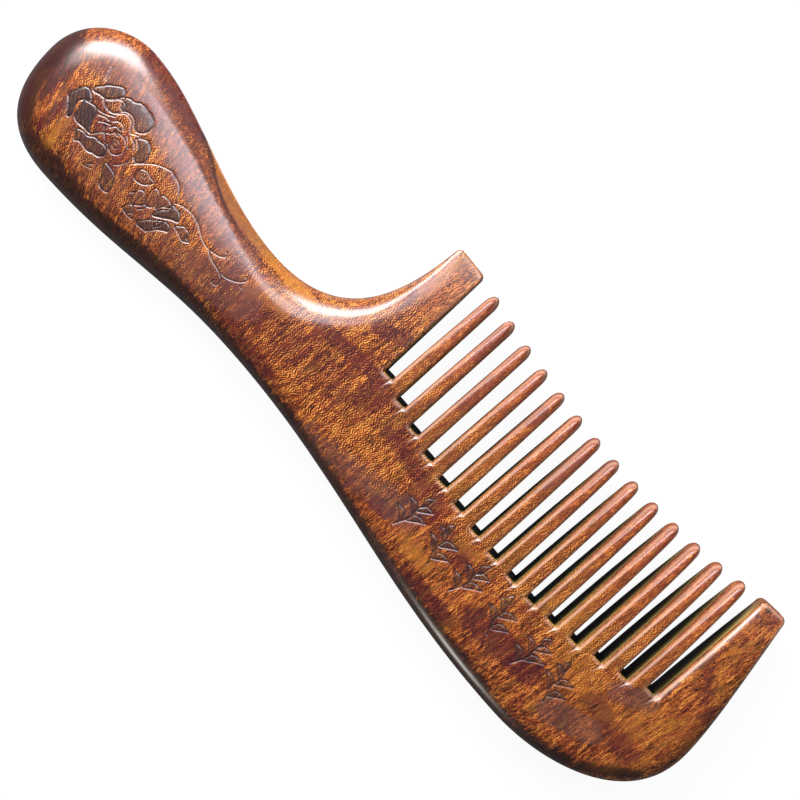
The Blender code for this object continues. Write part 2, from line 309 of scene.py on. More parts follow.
# %% Let the rounding change along the handle and up the first guard, and run softly everywhere
for row in rows[1:3]:
    for column, values in enumerate(zip(*handle_rounds), start=2):
        row[:, column] = np.interp(row[:, 0], handle_runs, values)
up_guard = rows[2][:, 0] > guard_start_run
for column, values in enumerate(zip(*guard_rounds), start=2):
    rows[2][up_guard, column] = np.interp(rows[2][up_guard, 1], guard_heights, values)
outline = np.vstack(rows)
softenings = 3
for _ in range(softenings):
    rounds = outline[:, 2:]
    outline[:, 2:] = (np.roll(rounds, 1, axis=0) + 2 * rounds + np.roll(rounds, -1, axis=0)) / 4
print("outline points:", len(outline))

# %% [markdown]
# ## Distance to the edge
#
# Sanding rounds every edge over, so the height of the surface at a place depends on how far the
# place lies from the outline and on how wide the rounding is there. A search tree over closely
# spaced outline points finds the nearest one, and the two short segments beside it give the exact
# distance.


# %% Find the nearest place on the outline
def search_tree(points):
    """Finds the point that lies nearest to a place, as seen from above."""
    tree = KDTree(len(points))
    for i, point in enumerate(points):
        tree.insert((point[0], point[1], 0), i)
    tree.balance()
    return tree


fine_spacing = 0.12
closed = np.vstack([outline, outline[:1]])
pieces_of_line = []
for a, b in zip(closed, closed[1:]):
    parts = max(1, math.ceil(np.linalg.norm(b[:2] - a[:2]) / fine_spacing))
    pieces_of_line.append(mix(a, b, np.arange(parts)[:, None] / parts))
fine_line = np.vstack(pieces_of_line)
line_tree = search_tree(fine_line)


def rim_distance(points):
    """Distance to the outline, and the rounding at its nearest place."""
    nearest = np.array([line_tree.find((x, y, 0))[1] for x, y in points])
    best, rounding = np.full(len(points), np.inf), np.zeros((len(points), 4))
    for step in (-1, 0):
        a = fine_line[(nearest + step) % len(fine_line)]
        b = fine_line[(nearest + step + 1) % len(fine_line)]
        side = b[:, :2] - a[:, :2]
        t = np.clip(((points - a[:, :2]) * side).sum(1) / np.maximum((side**2).sum(1), 1e-12), 0, 1)
        foot = a + (b - a) * t[:, None]
        distance = np.linalg.norm(points - foot[:, :2], axis=1)
        nearer = distance < best
        best = np.where(nearer, distance, best)
        rounding = np.where(nearer[:, None], foot[:, 2:], rounding)
    return best, rounding


print("fine line points:", len(fine_line))

# %% [markdown]
# ## The carved ornament
#
# A rose spray with leaves and tendrils is cut into the handle, and a row of small leaf sprigs into
# the back. Such lines are burnt or cut about half a millimetre wide and a fifth deep, and the petals
# are filled with fine hatching. The lines could be a bump texture, but real grooves catch the light
# on one wall and stay dark on the other, so they are cut into the mesh. A carver draws the petals
# freely, so each one is a closed smooth line through a few points of its own, and has a shade that
# says how darkly it is hatched.


# %% Helpers for drawing
def smooth_line(points, closed=False, spacing=0.08):
    """A smooth line through points."""
    points = np.array(points, float)
    if closed:
        padded = np.vstack([points[-1:], points, points[:2]])
    else:
        padded = np.vstack([2 * points[0] - points[1], points, 2 * points[-1] - points[-2]])
    parts = []
    for a, b, c, d in zip(padded, padded[1:], padded[2:], padded[3:]):
        count = max(2, math.ceil(np.linalg.norm(c - b) / spacing))
        t = np.arange(count)[:, None] / count
        square, cube = 2 * a - 5 * b + 4 * c - d, 3 * b - a - 3 * c + d
        parts.append(0.5 * (2 * b + (c - a) * t + square * t**2 + cube * t**3))
    return np.vstack(parts + [padded[-2:-1]])


def spiral(centre, first_radius, last_radius, turns, start_degrees):
    t = np.linspace(0, 1, max(12, int(abs(turns) * 40)))
    angle = math.radians(start_degrees) + 2 * math.pi * turns * t
    radius = mix(first_radius, last_radius, t)
    return np.stack([centre[0] + radius * np.cos(angle), centre[1] + radius * np.sin(angle)], axis=1)


def leaf(start, end, width, bend=0.15):
    """A pointed leaf as a closed line."""
    start, end = np.array(start, float), np.array(end, float)
    along = end - start
    across = np.array([-along[1], along[0]])
    t = np.linspace(0, 1, 30)[:, None]
    spine = start + along * t + across * bend * np.sin(math.pi * t)
    half = across / np.linalg.norm(along) * width / 2 * np.sin(math.pi * t**0.85) ** 0.9
    return np.vstack([spine + half, (spine - half)[::-1]])


lines, fills = [], []
fine_cut = (0.2, 0.16)


def draw(points, half_width=0.25, depth=0.21):
    lines.append((points, half_width, depth))


def draw_petal(points, shade, half_width=0.25):
    """A closed petal, and how darkly it is hatched."""
    shape = smooth_line(points, closed=True)
    draw(shape, half_width)
    fills.append((shape, shade))


print("points on a spiral of one turn:", len(spiral((0, 0), 1, 2, 1, 0)))

# %% The outer petals of the rose
for shade, points in (
    (0.8, [(13.5, 24.2), (14.8, 26.3), (15.7, 27.2), (17.4, 28.4), (18.4, 28.0), (18.8, 27.2), (18.2, 26.3),
           (16.8, 24.6), (15.2, 24.2), (14.2, 23.8)]),
    (0.8, [(19.2, 27.2), (19.8, 27.9), (21.0, 28.2), (22.0, 28.9), (23.4, 29.0), (24.8, 28.9), (26.0, 28.5),
           (26.8, 27.5), (26.9, 26.3), (26.3, 25.2), (25.4, 24.6), (24.3, 25.0), (23.5, 25.8), (22.4, 26.0),
           (21.2, 25.7), (20.4, 25.2)]),
    (0.35, [(16.7, 24.2), (17.7, 25.3), (18.5, 26.3), (19.5, 26.7), (20.2, 26.3), (20.6, 25.3),
            (20.2, 24.3), (19.5, 23.6), (17.9, 23.5)]),
    (0.8, [(26.5, 23.8), (27.3, 24.6), (28.2, 25.0), (29.3, 24.7), (30.2, 23.8), (30.7, 22.4), (30.6, 21.4),
           (29.6, 20.5), (28.7, 21.0), (28.5, 22.1), (27.7, 23.0)]),
    (1.0, [(11.0, 20.0), (11.7, 22.4), (12.4, 23.3), (13.5, 23.4), (14.5, 22.8), (14.9, 22.2), (13.8, 21.3),
           (13.2, 20.3), (13.5, 19.2), (14.2, 17.7), (13.8, 16.7), (12.9, 17.7), (12.0, 18.8)]),
    (1.0, [(14.2, 20.7), (14.2, 21.4), (15.2, 21.8), (16.5, 22.1), (17.3, 21.3), (17.7, 20.2), (18.4, 18.9),
           (19.2, 17.7), (17.7, 17.6), (16.0, 17.4), (15.1, 17.7), (14.5, 18.9)]),
    (0.8, [(16.8, 16.4), (18.1, 17.1), (19.3, 17.1), (20.6, 18.0), (21.5, 18.0), (22.3, 18.2), (23.4, 18.3),
           (24.2, 17.4), (24.2, 16.6), (23.5, 15.8), (22.3, 15.5), (21.2, 15.0), (19.0, 15.2), (18.1, 14.6),
           (17.4, 15.5)]),
    (0.6, [(25.4, 16.0), (26.5, 16.2), (28.1, 16.0), (29.0, 15.3), (29.5, 14.2), (29.8, 12.5), (28.1, 12.1),
           (27.0, 12.7), (26.7, 13.8)]),
):
    draw_petal(points, shade)
print("petals of the rose:", len(fills))

# %% The inner curls of the rose
for points in (
    [(18.1, 23.4), (19.6, 23.6), (20.6, 24.5), (21.3, 25.3), (22.4, 25.5), (23.4, 25.2), (24.2, 24.2),
     (24.9, 23.5)],
    [(24.9, 23.6), (25.9, 24.2), (26.7, 24.6), (27.6, 25.2)],
    [(13.2, 20.5), (14.2, 21.3), (15.2, 22.1), (17.4, 22.1), (18.7, 22.5), (19.6, 23.0), (20.4, 23.5)],
    [(17.9, 21.4), (19.2, 22.1), (20.2, 22.2)],
    [(16.0, 17.4), (17.1, 17.6), (18.2, 17.7), (19.2, 17.6), (19.9, 18.3), (20.9, 19.7), (22.0, 20.5)],
    [(21.3, 18.2), (22.4, 18.6), (23.4, 18.9), (24.0, 18.3)],
    [(22.9, 21.8), (24.6, 22.1), (25.9, 21.4), (26.5, 20.2), (26.0, 18.8), (24.9, 18.2), (24.0, 18.6)],
    [(25.4, 23.3), (27.0, 22.7), (28.2, 21.4), (28.5, 19.7), (27.9, 18.2), (27.1, 17.2)],
    [(20.8, 22.6), (21.6, 23.4), (22.7, 23.6), (23.6, 22.9)],
    [(21.2, 21.3), (22.0, 22.4), (23.2, 22.5)],
    [(20.3, 20.9), (21.0, 20.2), (22.0, 19.4), (22.6, 18.9)],
    [(24.8, 22.8), (25.7, 22.2), (26.6, 21.2)],
    [(22.2, 20.6), (22.6, 21.4), (23.5, 21.4)],
    [(18.9, 20.6), (19.8, 21.3), (20.9, 21.8)],
    [(22.7, 12.8), (24.0, 14.2)],
    [(22.6, 12.5), (24.3, 13.3)],
    [(13.0, 29.5), (14.0, 27.0)],
):
    draw(smooth_line(points), *fine_cut)
draw(spiral((24.4, 19.9), 0.25, 1.1, 1.3, 40), 0.15, 0.13)

# %% The second blossom, on its stem
for shade, points in (
    (0.5, [(31.2, 20.3), (32.5, 21.0), (33.7, 20.7), (34.9, 20.6), (34.0, 19.0), (32.7, 18.3),
           (31.5, 18.4)]),
    (0.5, [(37.7, 19.7), (38.3, 20.3), (39.6, 20.4), (40.6, 19.7), (39.4, 18.6), (38.7, 17.4)]),
    (0.9, [(40.6, 20.3), (42.1, 20.4), (43.3, 19.7), (43.5, 18.8), (42.1, 18.0), (40.8, 17.0), (39.2, 16.1),
           (39.4, 17.6), (40.4, 19.0)]),
    (0.3, [(35.8, 19.9), (36.9, 20.1), (37.7, 19.0), (38.1, 17.2), (36.7, 16.3), (36.0, 17.6)]),
    (0.3, [(33.7, 17.2), (34.8, 18.0), (35.8, 17.2), (36.5, 16.1), (34.8, 14.5), (34.0, 15.5)]),
    (0.3, [(34.0, 12.6), (35.0, 14.5), (36.9, 12.6)]),
    (0.9, [(41.7, 17.0), (43.3, 17.0), (43.5, 16.1), (42.7, 15.5), (41.7, 14.7), (40.8, 13.4), (40.0, 12.8),
           (37.9, 12.7), (39.0, 14.6)]),
    (0.5, [(44.2, 18.4), (45.2, 19.2), (46.5, 19.0), (47.1, 18.0), (47.9, 17.8), (46.7, 17.0), (45.4, 17.4),
           (43.8, 17.8)]),
):
    draw_petal(points, shade, 0.19)
for points in (
    [(29.2, 19.7), (30.9, 21.6), (32.1, 22.8), (33.7, 23.8), (35.6, 24.5), (36.2, 24.4), (37.9, 24.1),
     (39.2, 23.3), (40.2, 22.0), (40.6, 20.9)],
    [(39.2, 16.1), (40.8, 17.2), (42.5, 18.4), (43.7, 18.8)],
    [(36.2, 14.6), (37.0, 15.6), (37.2, 16.6)],
    [(33.0, 15.8), (33.9, 16.9)],
    [(41.0, 14.6), (41.6, 15.8), (41.6, 16.8)],
    [(38.4, 18.4), (39.2, 17.2)],
    [(35.0, 12.4), (36.3, 13.6)],
):
    draw(smooth_line(points), *fine_cut)
draw(spiral((32.5, 19.9), 0.15, 0.8, 1.1, 200), 0.13, 0.12)
seeds = ((37.5, 14.2), (38.2, 15.2), (39.0, 15.0), (39.8, 15.5), (40.6, 14.9), (38.6, 14.0), (40.9, 15.8))
for seed in seeds:
    draw(spiral(seed, 0.02, 0.05, 1.0, 0), 0.2, 0.14)
print("lines so far:", len(lines))

# %% The tendrils towards the neck, and the crest along its upper side
for points in (
    [(40.6, 20.8), (41.2, 21.3), (42.7, 21.8), (44.6, 22.0), (46.5, 21.5), (48.1, 20.7), (49.8, 20.0),
     (51.0, 19.8), (52.9, 20.1), (54.2, 20.6), (54.7, 21.3), (54.2, 22.0)],
    [(51.5, 19.7), (52.9, 19.0), (54.6, 18.6), (56.2, 18.4), (57.9, 18.6), (59.6, 19.5), (60.6, 20.5),
     (60.8, 21.3), (60.3, 21.5)],
    [(56.2, 18.2), (57.3, 17.6), (57.6, 16.6), (57.1, 15.9), (56.3, 16.1), (56.5, 16.6)],
):
    draw(smooth_line(points), *fine_cut)
draw(spiral((61.0, 19.7), 0.1, 0.5, 0.8, 90), 0.14, 0.12)
draw(spiral((59.3, 15.8), 0.1, 0.5, 0.8, 0), 0.13, 0.1)
draw(smooth_line([(33.0, 33.5), (38.0, 31.5), (42.0, 29.5), (47.0, 27.5), (52.0, 26.5)]), 0.36, 0.08)
draw(smooth_line([(50.0, 26.5), (58.0, 25.7), (65.0, 25.3)]), 0.16, 0.04)
print("lines on the handle:", len(lines))

# %% Draw the row of leaf sprigs on the back
sprig_places = ((115.0, 14.9), (123.1, 14.6), (131.6, 14.3), (140.6, 14.0), (149.6, 13.7), (157.1, 13.4))
stem_points = ((1.0, -4.2), (-0.2, -1.2), (0.0, 1.3), (-0.5, 2.2))
stem_leaves = ((0.2, 1, 3.4), (0.36, -1, 3.8), (0.6, 1, 3.6), (0.76, -1, 3.2))
leaf_width, leaf_shade, leaf_way_shares, leaf_bend_share = 1.3, 0.6, np.array([0.86, 0.6]), 0.16
top_leaf_reach = np.array([-0.5, 2.6])


def draw_leaf(*shape_values):
    shape = leaf(*shape_values)
    draw(shape, 0.22, 0.17)
    fills.append((shape, leaf_shade))


for i, (middle, lift) in enumerate(sprig_places):
    side = 1 if i % 2 else -1
    stem = smooth_line([(middle + x * side, lift + y) for x, y in stem_points])
    draw(stem, 0.26, 0.2)
    for along, leaf_side, reach in stem_leaves:
        foot, way = stem[int(along * (len(stem) - 1))], leaf_side * side
        draw_leaf(foot, foot + leaf_way_shares * (way, 1) * reach, leaf_width, leaf_bend_share * way)
    draw_leaf(stem[-1], stem[-1] + top_leaf_reach * (side, 1), leaf_width)
print("lines in all:", len(lines))

# %% [markdown]
# ## The file marks at the roots
#
# Where each tooth meets the back, the maker's file ran a little past the end of the saw cut, along
# the flank of the next tooth. It left a short tapering nick that catches the light. It is cut the
# same way as the ornament, only wider, deeper and fading out. Its wall on the side that faces the
# window lamp is also painted pale, as a painted highlight.

# %% Draw the nicks
nick_start, nick_end = np.array([-0.05, 0.3]), np.array([-0.60, -2.4])
nick_half_widths, nick_depths, nick_steps = (0.50, 0.20), (0.34, 0.03), 24
nicks = []
walls = [tooth_centre(k) - tooth_root_width / 2 for k in range(tooth_count)] + [last_wall_run]
for run in walls:
    foot = np.array([run, float(root_height(run))])
    t = np.linspace(0, 1, nick_steps)[:, None]
    path = mix(foot + nick_start, foot + nick_end, t)
    nicks.append(np.hstack([path, mix(*nick_half_widths, t), mix(*nick_depths, t)]))
print("nicks:", len(nicks))

# %% Look up how deep the carving is at a place
samples = [np.hstack([p, np.full((len(p), 1), w), np.full((len(p), 1), d)]) for p, w, d in lines]
carving = np.vstack(samples + nicks)
ornament_samples = sum(map(len, samples))
carving_tree = search_tree(carving)
nick_highlight_spread, nick_highlight_fade = 2.2, 2.5
print("carving points:", len(carving))


def inside(points, shape):
    """Which points lie inside a closed line."""
    found = np.zeros(len(points), bool)
    x, y = points[:, 0], points[:, 1]
    for (ax, ay), (bx, by) in zip(shape, np.roll(shape, -1, axis=0)):
        crosses = (ay > y) != (by > y)
        with np.errstate(divide="ignore", invalid="ignore"):
            found ^= crosses & (x < (bx - ax) * (y - ay) / (by - ay) + ax)
    return found


def carved(points):
    """Groove depth in mm, and how far a place is groove, hatching or a painted highlight in a nick."""
    depth, line, hatch, nick_highlight = np.zeros((4, len(points)))
    for i, (x, y) in enumerate(points):
        _, j, distance = carving_tree.find((x, y, 0))
        width, deep = carving[j, 2:]
        if distance < width:
            share = 1 - distance / width
            depth[i] = deep * share
            if j < ornament_samples:
                line[i] = share
            # the nick's wall on the side that faces the window lamp is painted pale: a painted highlight
            elif x > carving[j, 0]:
                nick_highlight[i] = min(1, nick_highlight_spread * share) * min(1, nick_highlight_fade * deep)
    for shape, shade in fills:
        near = (
            (points[:, 0] > shape[:, 0].min()) & (points[:, 0] < shape[:, 0].max())
            & (points[:, 1] > shape[:, 1].min()) & (points[:, 1] < shape[:, 1].max())
        )
        hatch[near] = np.maximum(hatch[near], shade * inside(points[near], shape))
    return depth, line, hatch, nick_highlight


# %% [markdown]
# ## From the outline to a surface
#
# The face of the comb is filled with points: rings that follow the outline where the edge rounds
# over, a loose pattern over the flat middle, and a very close one where the carving is. A
# triangulation joins them, and each point is then set to its height. This keeps the mesh small and
# still gives the carving crisp walls.

# %% Height of the surface
dome_runs, dome_depths = (0, 25, 40, 60, 95), (2.2, 2.3, 2.1, 1.5, 0)
reach_runs, dome_reaches = (0, 20, 38, 60, 95), (16, 16, 13, 10, 8)
largest_drop, least_half = 5.35, 0.1


def thickness_at(points):
    towards_tip = share_of(points[:, 1], taper_start, comb_height) ** 2
    past_neck = share_of(points[:, 0], neck_run, handle_length)
    return mix(board_thickness, tip_thickness, towards_tip * past_neck)


def dome_drop(points, distance):
    """The handle is a little domed, so that it fills the hand. The dome fades out at the back."""
    depth = np.interp(points[:, 0], dome_runs, dome_depths)
    reach = np.interp(points[:, 0], reach_runs, dome_reaches)
    return depth * (1 - share_of(distance, 0, reach)) ** 2


def half_height(points, distance, rounding):
    """From the middle of the board to its face."""
    width, drop, fullness, _ = rounding.T
    near = 1 - np.clip(distance / width, 0, 1)
    drop = np.minimum(drop, largest_drop) * (1 - (1 - near**fullness) ** (1 / fullness))
    dome = np.minimum(dome_drop(points, distance), board_thickness / 2 - drop - least_half)
    return (board_thickness / 2 - drop - dome) * thickness_at(points) / board_thickness


print("thickness at the tips in mm:", thickness_at(np.array([[comb_length, comb_height]])))


# %% Points that follow the outline
def hex_points(low, high, spacing):
    xs = np.arange(low[0], high[0], spacing)
    ys = np.arange(low[1], high[1], spacing * math.sqrt(3) / 2)
    grid = np.stack(np.meshgrid(xs, ys), axis=-1)
    grid[1::2, :, 0] += spacing / 2
    return grid.reshape(-1, 2)


before = np.roll(outline, 1, axis=0)[:, :2]
after = np.roll(outline, -1, axis=0)[:, :2]
way = after - before
inward = np.stack([way[:, 1], -way[:, 0]], axis=1) / np.linalg.norm(way, axis=1)[:, None]

# rings for narrow, middling and wide edges: the widths they serve, and where each ring lies
edge_rings = (
    (0.0, 0.6, (0.25, 1.0)),
    (0.6, 2.0, (0.04, 0.13, 0.28, 0.5, 0.75, 1.0)),
    (2.0, 99.0, (0.015, 0.06, 0.14, 0.26, 0.42, 0.62, 0.85)),
)
ring_clearance = 0.7
ring_points = []
for low, high, shares in edge_rings:
    chosen = (outline[:, 2] > low) & (outline[:, 2] <= high)
    for share in shares:
        reach = outline[chosen, 2:3] * share
        points = outline[chosen, :2] + inward[chosen] * reach
        distance, _ = rim_distance(points)
        ring_points.append(points[distance > ring_clearance * reach[:, 0]])
ring_points = np.vstack(ring_points)
print("ring points:", len(ring_points))

# %% Points over the middle, and close ones at the carving
loose_spacing, close_spacing, nick_spacing = 0.75, 0.15, 0.17
past_edge_share, past_edge, flat_distance = 0.9, 0.2, 3.0
nick_box = ((-2.0, -3.2), (1.4, 0.9))
close_reach, close_margin = 0.16, 0.1
carved_parts = (((10, 10.5), (66, 34.5)), ((110, 8), (162, 20)))


def inside_comb(points):
    return inside(points, outline[:, :2])


middle = hex_points(outline[:, :2].min(axis=0), outline[:, :2].max(axis=0), loose_spacing)
middle = middle[inside_comb(middle)]
distance, rounding = rim_distance(middle)
past_rings = distance > rounding[:, 0] * past_edge_share + past_edge
middle = middle[past_rings | (distance > flat_distance)]

close = [hex_points(low, high, close_spacing) for low, high in carved_parts]
for run in walls:
    low, high = np.array([run, float(root_height(run))]) + nick_box
    close.append(hex_points(low, high, nick_spacing))
close = np.vstack(close)
close = close[inside_comb(close)]
reach = np.zeros(len(close))
for i, (x, y) in enumerate(close):
    _, j, distance = carving_tree.find((x, y, 0))
    reach[i] = distance - carving[j, 2]
close = close[reach < close_reach]
close = close[rim_distance(close)[0] > close_margin]
print("middle points:", len(middle), "close points:", len(close))


# %% Join the points into triangles
def thinned(points, anchors, spacing):
    """Drops points that lie nearer than a spacing to any of the anchors."""
    tree = search_tree(anchors)
    return points[[tree.find((x, y, 0))[2] > spacing for x, y in points]]


seam_count = 6
least_loose, least_close, least_between = 0.05, 0.08, 0.16
seams = []
seam_points = []
for start, end in tooth_ends:
    runs = np.linspace(outline[start, 0], outline[end % len(outline), 0], seam_count + 2)[1:-1]
    first = len(outline) + sum(map(len, seam_points))
    seam_points.append(np.stack([runs, root_height(runs)], axis=1))
    seams.append([start, *range(first, first + len(runs)), end % len(outline)])
fixed = np.vstack([outline[:, :2], *seam_points])
fixed_edges = [(i, (i + 1) % len(outline)) for i in range(len(outline))]
fixed_edges += [pair for seam in seams for pair in zip(seam, seam[1:])]


def triangulated(extra):
    """(points, triangles facing up). The fixed points come first, in their own order."""
    points = np.vstack([fixed, extra])
    found = delaunay_2d_cdt([Vector(p) for p in points], fixed_edges, [], 1, 1e-7)
    made, faces, sources = np.array(found[0]), np.array(found[2]), found[3]
    order = np.full(len(made), -1)
    for i, source in enumerate(sources):
        if source:
            order[i] = min(source)
    target = np.empty(len(made), int)
    used = np.argsort(np.where(order >= 0, order, len(points) + np.arange(len(made))))
    target[used] = np.arange(len(made))
    made = made[used]
    faces = target[faces]
    a, b, c = (made[faces[:, i]] for i in range(3))
    turn = (b[:, 0] - a[:, 0]) * (c[:, 1] - a[:, 1]) - (b[:, 1] - a[:, 1]) * (c[:, 0] - a[:, 0])
    faces = np.where(turn[:, None] > 0, faces, faces[:, ::-1])
    assert np.allclose(made[: len(fixed)], fixed, atol=1e-5)
    return made, faces[abs(turn) > 1e-9]


loose = thinned(np.vstack([ring_points, middle]), fixed, least_loose)
with_close = np.vstack([thinned(loose, close, least_between), thinned(close, fixed, least_close)])
top_points, top_faces = triangulated(with_close)
under_points, under_faces = triangulated(loose)
print("triangles: face", len(top_faces), "underside", len(under_faces))

# %% Set every point to its height
hatching_depth = 0.05
wear_and_highlight_middle, wear_and_highlight_reach = 0.42, 0.36


def surface(points, with_carving):
    distance, rounding = rim_distance(points)
    distance[: len(outline)] = 0
    rounding[: len(outline)] = outline[:, 2:]
    half = half_height(points, distance, rounding)
    depth, line, hatch, nick_highlight = carved(points) if with_carving else np.zeros((4, len(points)))
    depth[: len(outline)] = 0
    half -= depth + hatching_depth * hatch
    # pale wear along the edges; on the edges that face the window lamp it is partly a painted highlight
    wear_and_highlight = rounding[:, 3] * np.clip(1 - abs(distance - wear_and_highlight_middle) / wear_and_highlight_reach, 0, 1)
    return half, {"groove": line, "hatching": hatch, "nick_highlight": nick_highlight, "wear_and_highlight": wear_and_highlight}


def placed(points, z):
    x, y = points[:, 0] - comb_length / 2, points[:, 1] - comb_height / 2
    return np.stack([x, y, board_thickness / 2 + z], axis=1)


top_half, top_masks = surface(top_points, True)
under_half, under_masks = surface(under_points, False)
n = len(outline)
wall_levels = (0.93, -0.93)
blocks = [placed(top_points, top_half)]
blocks += [placed(top_points[:n], top_half[:n] * level) for level in wall_levels]
blocks += [placed(under_points, -under_half)]
vertices = np.vstack(blocks) / 1000
starts = np.cumsum([0] + [len(block) for block in blocks])
masks = {}
for name in top_masks:
    masks[name] = np.concatenate([top_masks[name], np.zeros(2 * n), under_masks[name]])
print("vertices:", len(vertices))

# %% [markdown]
# ## The walls of the gaps
#
# Between the teeth the wood is bare and in shade, so the walls go from gold near the face to
# nearly black below. This light and shade is painted into the walls' colour. Lamps alone could do
# much of this, but only for one place of the window lamp, and the pale table would light the walls
# again. One mask says which walls belong to a gap, and another how deep a place lies, and the
# material paints the shade on the walls by them.

# %% Which walls belong to a gap, and how deep they lie, in mm
flank_margin, flank_low_height = 1.0, 19.0
fade_start, fade_end = 4.0, 0.5
saw_end_shade_depth, saw_end_slope = 3.0, 0.3


def on_walls(top, upper, lower, bottom):
    """A mask from four rows of values along the outline, and nothing over the faces."""
    face, underside = np.zeros(len(top_points) - n), np.zeros(len(under_points) - n)
    return np.concatenate([top, face, upper, lower, bottom, underside])


in_row = (outline[:, 0] > first_wall_run - flank_margin) & (outline[:, 0] < last_wall_run + flank_margin)
flank = in_row & (outline[:, 1] > flank_low_height)
tips = tip_height(outline[:, 0])
gap_wall = flank * (1 - share_of(outline[:, 1], tips - fade_start, tips - fade_end))
masks["gap"] = on_walls(*4 * [gap_wall])
# the square ends of the saw cuts count deeper, so the painted shade is darker there
saw_end_shade = saw_end_shade_depth * (abs(way[:, 1]) < saw_end_slope * np.linalg.norm(way, axis=1))
masks["deep"] = on_walls(*[saw_end_shade + (1 - level) * top_half[:n] for level in (1, *wall_levels, -1)])
print("points on the walls of gaps:", int((gap_wall > 0).sum()))

# %% [markdown]
# ## The figure of the wood
#
# On the real board the broad figure is what makes it this board: maroon flames, amber streaks, a
# dusky patch on the handle, a gold band along the neck, and calm places where the fibres lie
# straight. Some strokes paint light and shade as well: the dark strokes are painted shade on the
# lower rim, the far end and the bulb's end, which face away from the lamps, and the dusky strokes
# along the handle's upper side and the spine paint a mauve sheen. Noise alone would put them
# anywhere. They are laid in as a few soft strokes, each a line with a reach and a strength, kept as
# values on the mesh's points. The material later breaks them up along the fibres.

# %% The dark strokes: reach, strength, and the points of the line
bands = {}
bands["maroon"] = [
    (1.8, 1.0, [(76, 26), (93, 27.5)]),
    (2.0, 0.9, [(84, 34), (90, 36)]),
    (1.5, 0.8, [(11, 11), (11.5, 18)]),
    (5.5, 0.9, [(4, 11), (4, 24)]),
    (9.0, 0.47, [(60, 19), (78, 20), (96, 25), (108, 27)]),
    (5.0, 0.42, [(84, 44), (88, 30)]),
    (5.0, 0.6, [(17, 22), (26, 18)]),
    (3.2, 0.8, [(16, 36.5), (26, 35.5), (33, 34)]),
    (2.0, 0.9, [(109, 11), (112, 11.5)]),
    (4.0, 0.8, [(138, 10), (152, 11)]),
    (2.5, 0.7, [(122, 6), (134, 6)]),
    (3.0, 0.5, [(172, 38), (181, 30)]),
    (4.0, 0.6, [(165, 16), (176, 14)]),
    (3.0, 0.6, [(60, 14), (76, 12)]),
    (2.5, 0.7, [(100, 22), (116, 20)]),
    (4.5, 0.5, [(112, 17), (130, 16)]),
    (2.0, 0.8, [(101.5, 44), (101, 50)]),
    (2.0, 0.8, [(106, 36), (106, 42)]),
    (1.8, 0.8, [(117, 43), (117, 46)]),
]
# dusky tone; the strokes along the handle's upper side and the spine's inner edge paint a mauve sheen
bands["dusk_and_sheen"] = [
    (3.5, 0.9, [(160, 9), (168, 12)]),
    (3.0, 0.8, [(166, 21), (171, 24)]),
    (2.0, 0.8, [(128, 38), (128, 46)]),
    (1.8, 0.8, [(133, 47), (133, 50)]),
    (5.0, 0.6, [(90, 9), (115, 14)]),
    (5.5, 0.9, [(51, 15), (63, 18)]),
    (5.5, 0.9, [(12, 30), (25, 31), (35, 28.5), (45, 25.5), (56, 24)]),
    (4.0, 0.6, [(38, 17), (43, 17)]),
    (9.0, 0.48, [(14, 18), (24, 14), (36, 15), (50, 15)]),
]
# painted shade on the rims that face away from the lamps: the lower rim, the far end and the bulb's end
bands["dark"] = [
    (3.6, 0.9, [(24, 5.4), (33, 6.6), (42, 8.2), (50, 9.0), (66, 8.8), (84, 7.4)]),
    (4.6, 0.9, [(84, 7.4), (105, 4.2), (126, 1.6), (148, 0.2)]),
    (3.4, 0.62, [(148, 0.2), (160, 1.0), (170, 4.0)]),
    (2.0, 0.6, [(170, 4), (180, 13)]),
    (6.0, 0.85, [(1, 27), (0.6, 20), (3, 12), (10, 6.2), (24, 5.4)]),
    (5.5, 0.5, [(4, 11), (4.5, 19), (5.5, 26)]),
]
print("dark strokes:", sum(map(len, bands.values())))

# %% The golden strokes, and the calm places
bands["amber"] = [
    (2.0, 0.55, [(14.5, 10), (14.5, 16)]),
    (3.5, 0.5, [(62, 21), (70, 23)]),
    (3.0, 0.5, [(118, 10), (124, 10)]),
    (2.5, 0.5, [(125, 17.5), (130, 18.5)]),
    (3.5, 0.42, [(174, 8), (180, 16)]),
    (9.0, 0.42, [(150, 24), (166, 16), (178, 24)]),
    (3.0, 0.5, [(85, 45), (86, 52)]),
    (6.0, 0.36, [(176, 34), (174, 48)]),
    (1.6, 1.0, [(34, 34.6), (39, 32.6), (44, 30.2), (50, 28.4), (58, 27.6), (72, 27.4)]),
]
bands["calm"] = [
    (6.0, 1.0, [(70, 9), (90, 8), (110, 7), (130, 4), (160, 3)]),
    (12.0, 1.0, [(158, 10), (170, 12), (178, 20), (178, 30)]),
    (8.0, 0.9, [(5, 14), (5, 30), (16, 34), (34, 31), (50, 26)]),
    (5.0, 0.9, [(20, 8), (40, 9), (55, 10)]),
    (9.0, 1.0, [(172, 24), (176, 50)]),
    (10.0, 0.75, [(118, 12), (155, 12)]),
    (14.0, 0.8, [(94, 50), (112, 46), (140, 43), (168, 45)]),
]
print("strokes:", {name: len(strokes) for name, strokes in bands.items()})


# %% Lay in the bands
def band_mask(points, strokes):
    mask = np.zeros(len(points))
    for reach, strength, corners in strokes:
        path = smooth_line(corners, spacing=0.5)
        distance = np.full(len(points), np.inf)
        for place in path:
            distance = np.minimum(distance, np.hypot(*(points - place).T))
        mask = np.maximum(mask, strength * (1 - share_of(distance, 0, reach) ** 2))
    return mask


for name, strokes in bands.items():
    top_mask = band_mask(top_points, strokes)
    under_mask = band_mask(under_points, strokes)
    masks[name] = np.concatenate([top_mask, top_mask[:n], top_mask[:n], under_mask])
print("masks:", {name: round(float(mask.mean()), 3) for name, mask in masks.items()})

